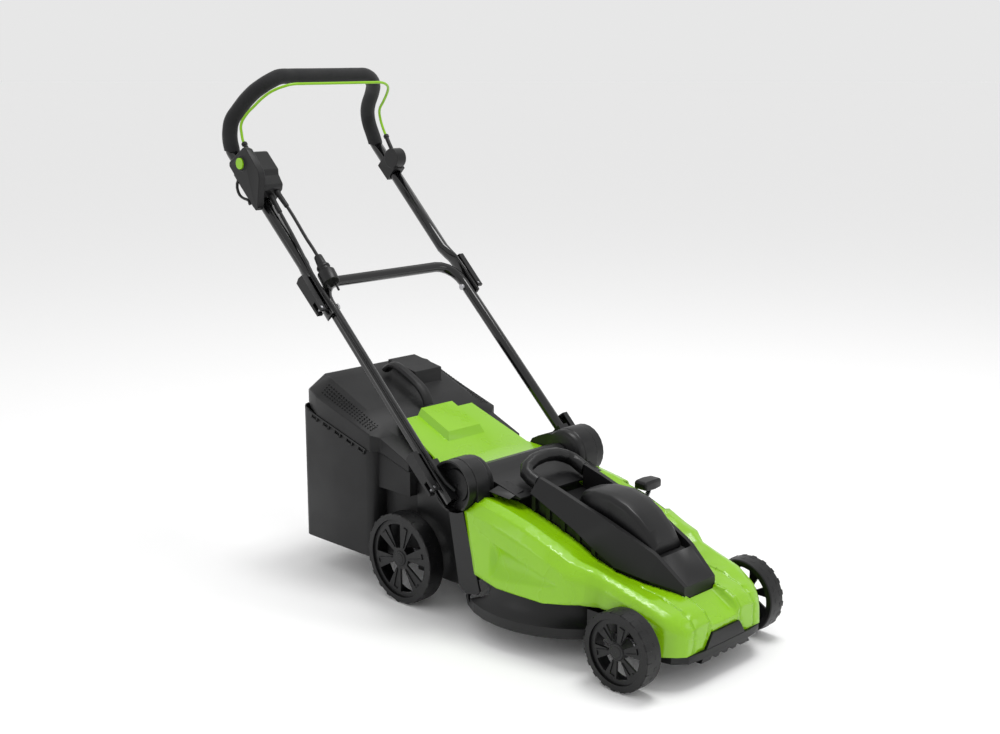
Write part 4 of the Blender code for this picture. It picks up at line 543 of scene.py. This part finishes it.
# %% Bail wire and its two sleeves
bail_half = [on_handle(0.185, 0.7667, 0.0319)] + [Vector((x, y + SHIFT_Y, z)) for x, y, z in (
    (0.1865, 0.4340, 0.8400), (0.1885, 0.4480, 0.8590), (0.1870, 0.4555, 0.8750), (0.1840, 0.4600, 0.8950),
    (0.1765, 0.4530, 0.9130),
    (0.1700, 0.4330, 0.9310), (0.1610, 0.4090, 0.9510), (0.1500, 0.3930, 0.9625), (0.1340, 0.3815, 0.9700),
    (0.1160, 0.3760, 0.9740), (0.0900, 0.3755, 0.9745), (0.0400, 0.3755, 0.9745), (0.0, 0.3755, 0.9745))]
wire = round_bar("bail_wire", across(bail_half), 0.0028, lime_wire, "bail", ("bail",), rings=4)
for side, word in ((1, "left"), (-1, "right")):
    stem = [Vector((p.x * side, p.y, p.z)) for p in bail_half[:3]]
    round_bar("bail_sleeve_" + word, [stem[0].lerp(stem[1], 0.25), stem[1], stem[2]], 0.0044, cord_vinyl,
              "bail")
    top = stem[1].lerp(stem[2], 0.72)
    round_bar("bail_collar_" + word, [top, top.lerp(stem[2], 0.75)], 0.0060, cord_vinyl,
              "bail")
print("bail has", len(wire.data.polygons), "faces")

# %% [markdown]
# ## Grass box details
# The bin and the lid snap together along a sloping seam. Seen from the side there is a narrow lip under the
# seam and five snap tabs, and a strip of fine dots, moulded as vents, runs along each slanted side of the lid.


# %% Lip, tabs and vent dots
def seam_height(y):
    return 0.2526 + 0.272 * y


def build_box_trim(side):
    shape = bmesh.new()
    tilt = Matrix.Rotation(math.atan(0.272), 4, "X")
    for y in (0.122, 0.158, 0.194, 0.230, 0.266):
        for shift, size in ((0.0, (0.0030, 0.0200, 0.0035)), (-0.0085, (0.0030, 0.0035, 0.0120)),
                            (0.0085, (0.0030, 0.0035, 0.0120))):
            drop = -0.0110 if shift == 0.0 else -0.0070
            at = Matrix.Translation((side * 0.1705, y + shift + SHIFT_Y, seam_height(y + shift) + drop))
            add_block(shape, size, at @ tilt)
    add_block(shape, (0.0030, 0.185, 0.0040),
              Matrix.Translation((side * 0.1712, 0.196 + SHIFT_Y, seam_height(0.196) - 0.0005)) @ tilt)
    return shape


def build_vent_dots(side):
    shape = bmesh.new()
    for row in range(4):
        share = 0.30 + 0.14 * row
        for k in range(20):
            y = 0.105 + 0.0078 * k
            x = 0.171 - 0.040 * share
            z = 0.283 + 0.31 * y + share * (0.002 + 0.11 * y)
            add_block(shape, (0.0022, 0.0026, 0.0016), Matrix.Translation((side * x, y + SHIFT_Y, z)))
    return shape


for side, word in ((1, "left"), (-1, "right")):
    trim = piece_of(build_box_trim(side), "box_snap_tabs_" + word, box_polypropylene,
                    "grass_box", bevel=0.0005)
    dots = piece_of(build_vent_dots(side), "box_vent_dots_" + word, box_polypropylene,
                    "grass_box")
    print(trim.name, len(trim.data.polygons), dots.name, len(dots.data.polygons))

# %% [markdown]
# ## Floor and light
# A product is shown on a pale seamless floor under broad soft lights, so black plastic keeps long, quiet
# highlights. One key light is overhead, two weak ones stand to the sides, and the world is white but dimmed.

# %% Floor, lights and world
bpy.ops.mesh.primitive_plane_add(size=400.0, location=(0, 0, -0.001))
floor = bpy.context.object
floor.name = "floor"
pale = bpy.data.materials.new("matt white floor")
pale.use_nodes = True
pale.node_tree.nodes["Principled BSDF"].inputs["Base Color"].default_value = linear("#FFFFFF")
pale.node_tree.nodes["Principled BSDF"].inputs["Roughness"].default_value = 0.9
floor.data.materials.append(pale)
floor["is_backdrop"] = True


def area_light(name, place, target, size, power):
    data = bpy.data.lights.new(name, "AREA")
    data.shape = "DISK"
    data.size = size
    data.energy = power
    light = bpy.data.objects.new(name, data)
    light.location = place
    light.rotation_mode = "QUATERNION"
    light.rotation_quaternion = (Vector(target) - Vector(place)).to_track_quat("-Z", "Y")
    bpy.context.collection.objects.link(light)


area_light("key", (0.5, -0.4, 3.2), (0, 0, 0.2), 1.3, 42)
area_light("side", (-3.0, 1.2, 1.4), (0, 0, 0.4), 1.0, 5)
area_light("fill", (1.6, -3.0, 1.6), (0, 0, 0.2), 1.2, 5)
world = bpy.data.worlds.new("studio")
bpy.context.scene.world = world
world.use_nodes = True
world.node_tree.nodes["Background"].inputs["Color"].default_value = linear("#FFFFFF")
world.node_tree.nodes["Background"].inputs["Strength"].default_value = 0.80
bpy.context.scene.view_settings.view_transform = "Standard"

# %% [markdown]
# ## The box that the dressed model fills is printed.
# The look may not grow the model, so both boxes are written down: the plain model's and the dressed one's.

# %% Print the box and finish
low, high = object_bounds()
print("box", [round(v, 4) for v in low], [round(v, 4) for v in high])
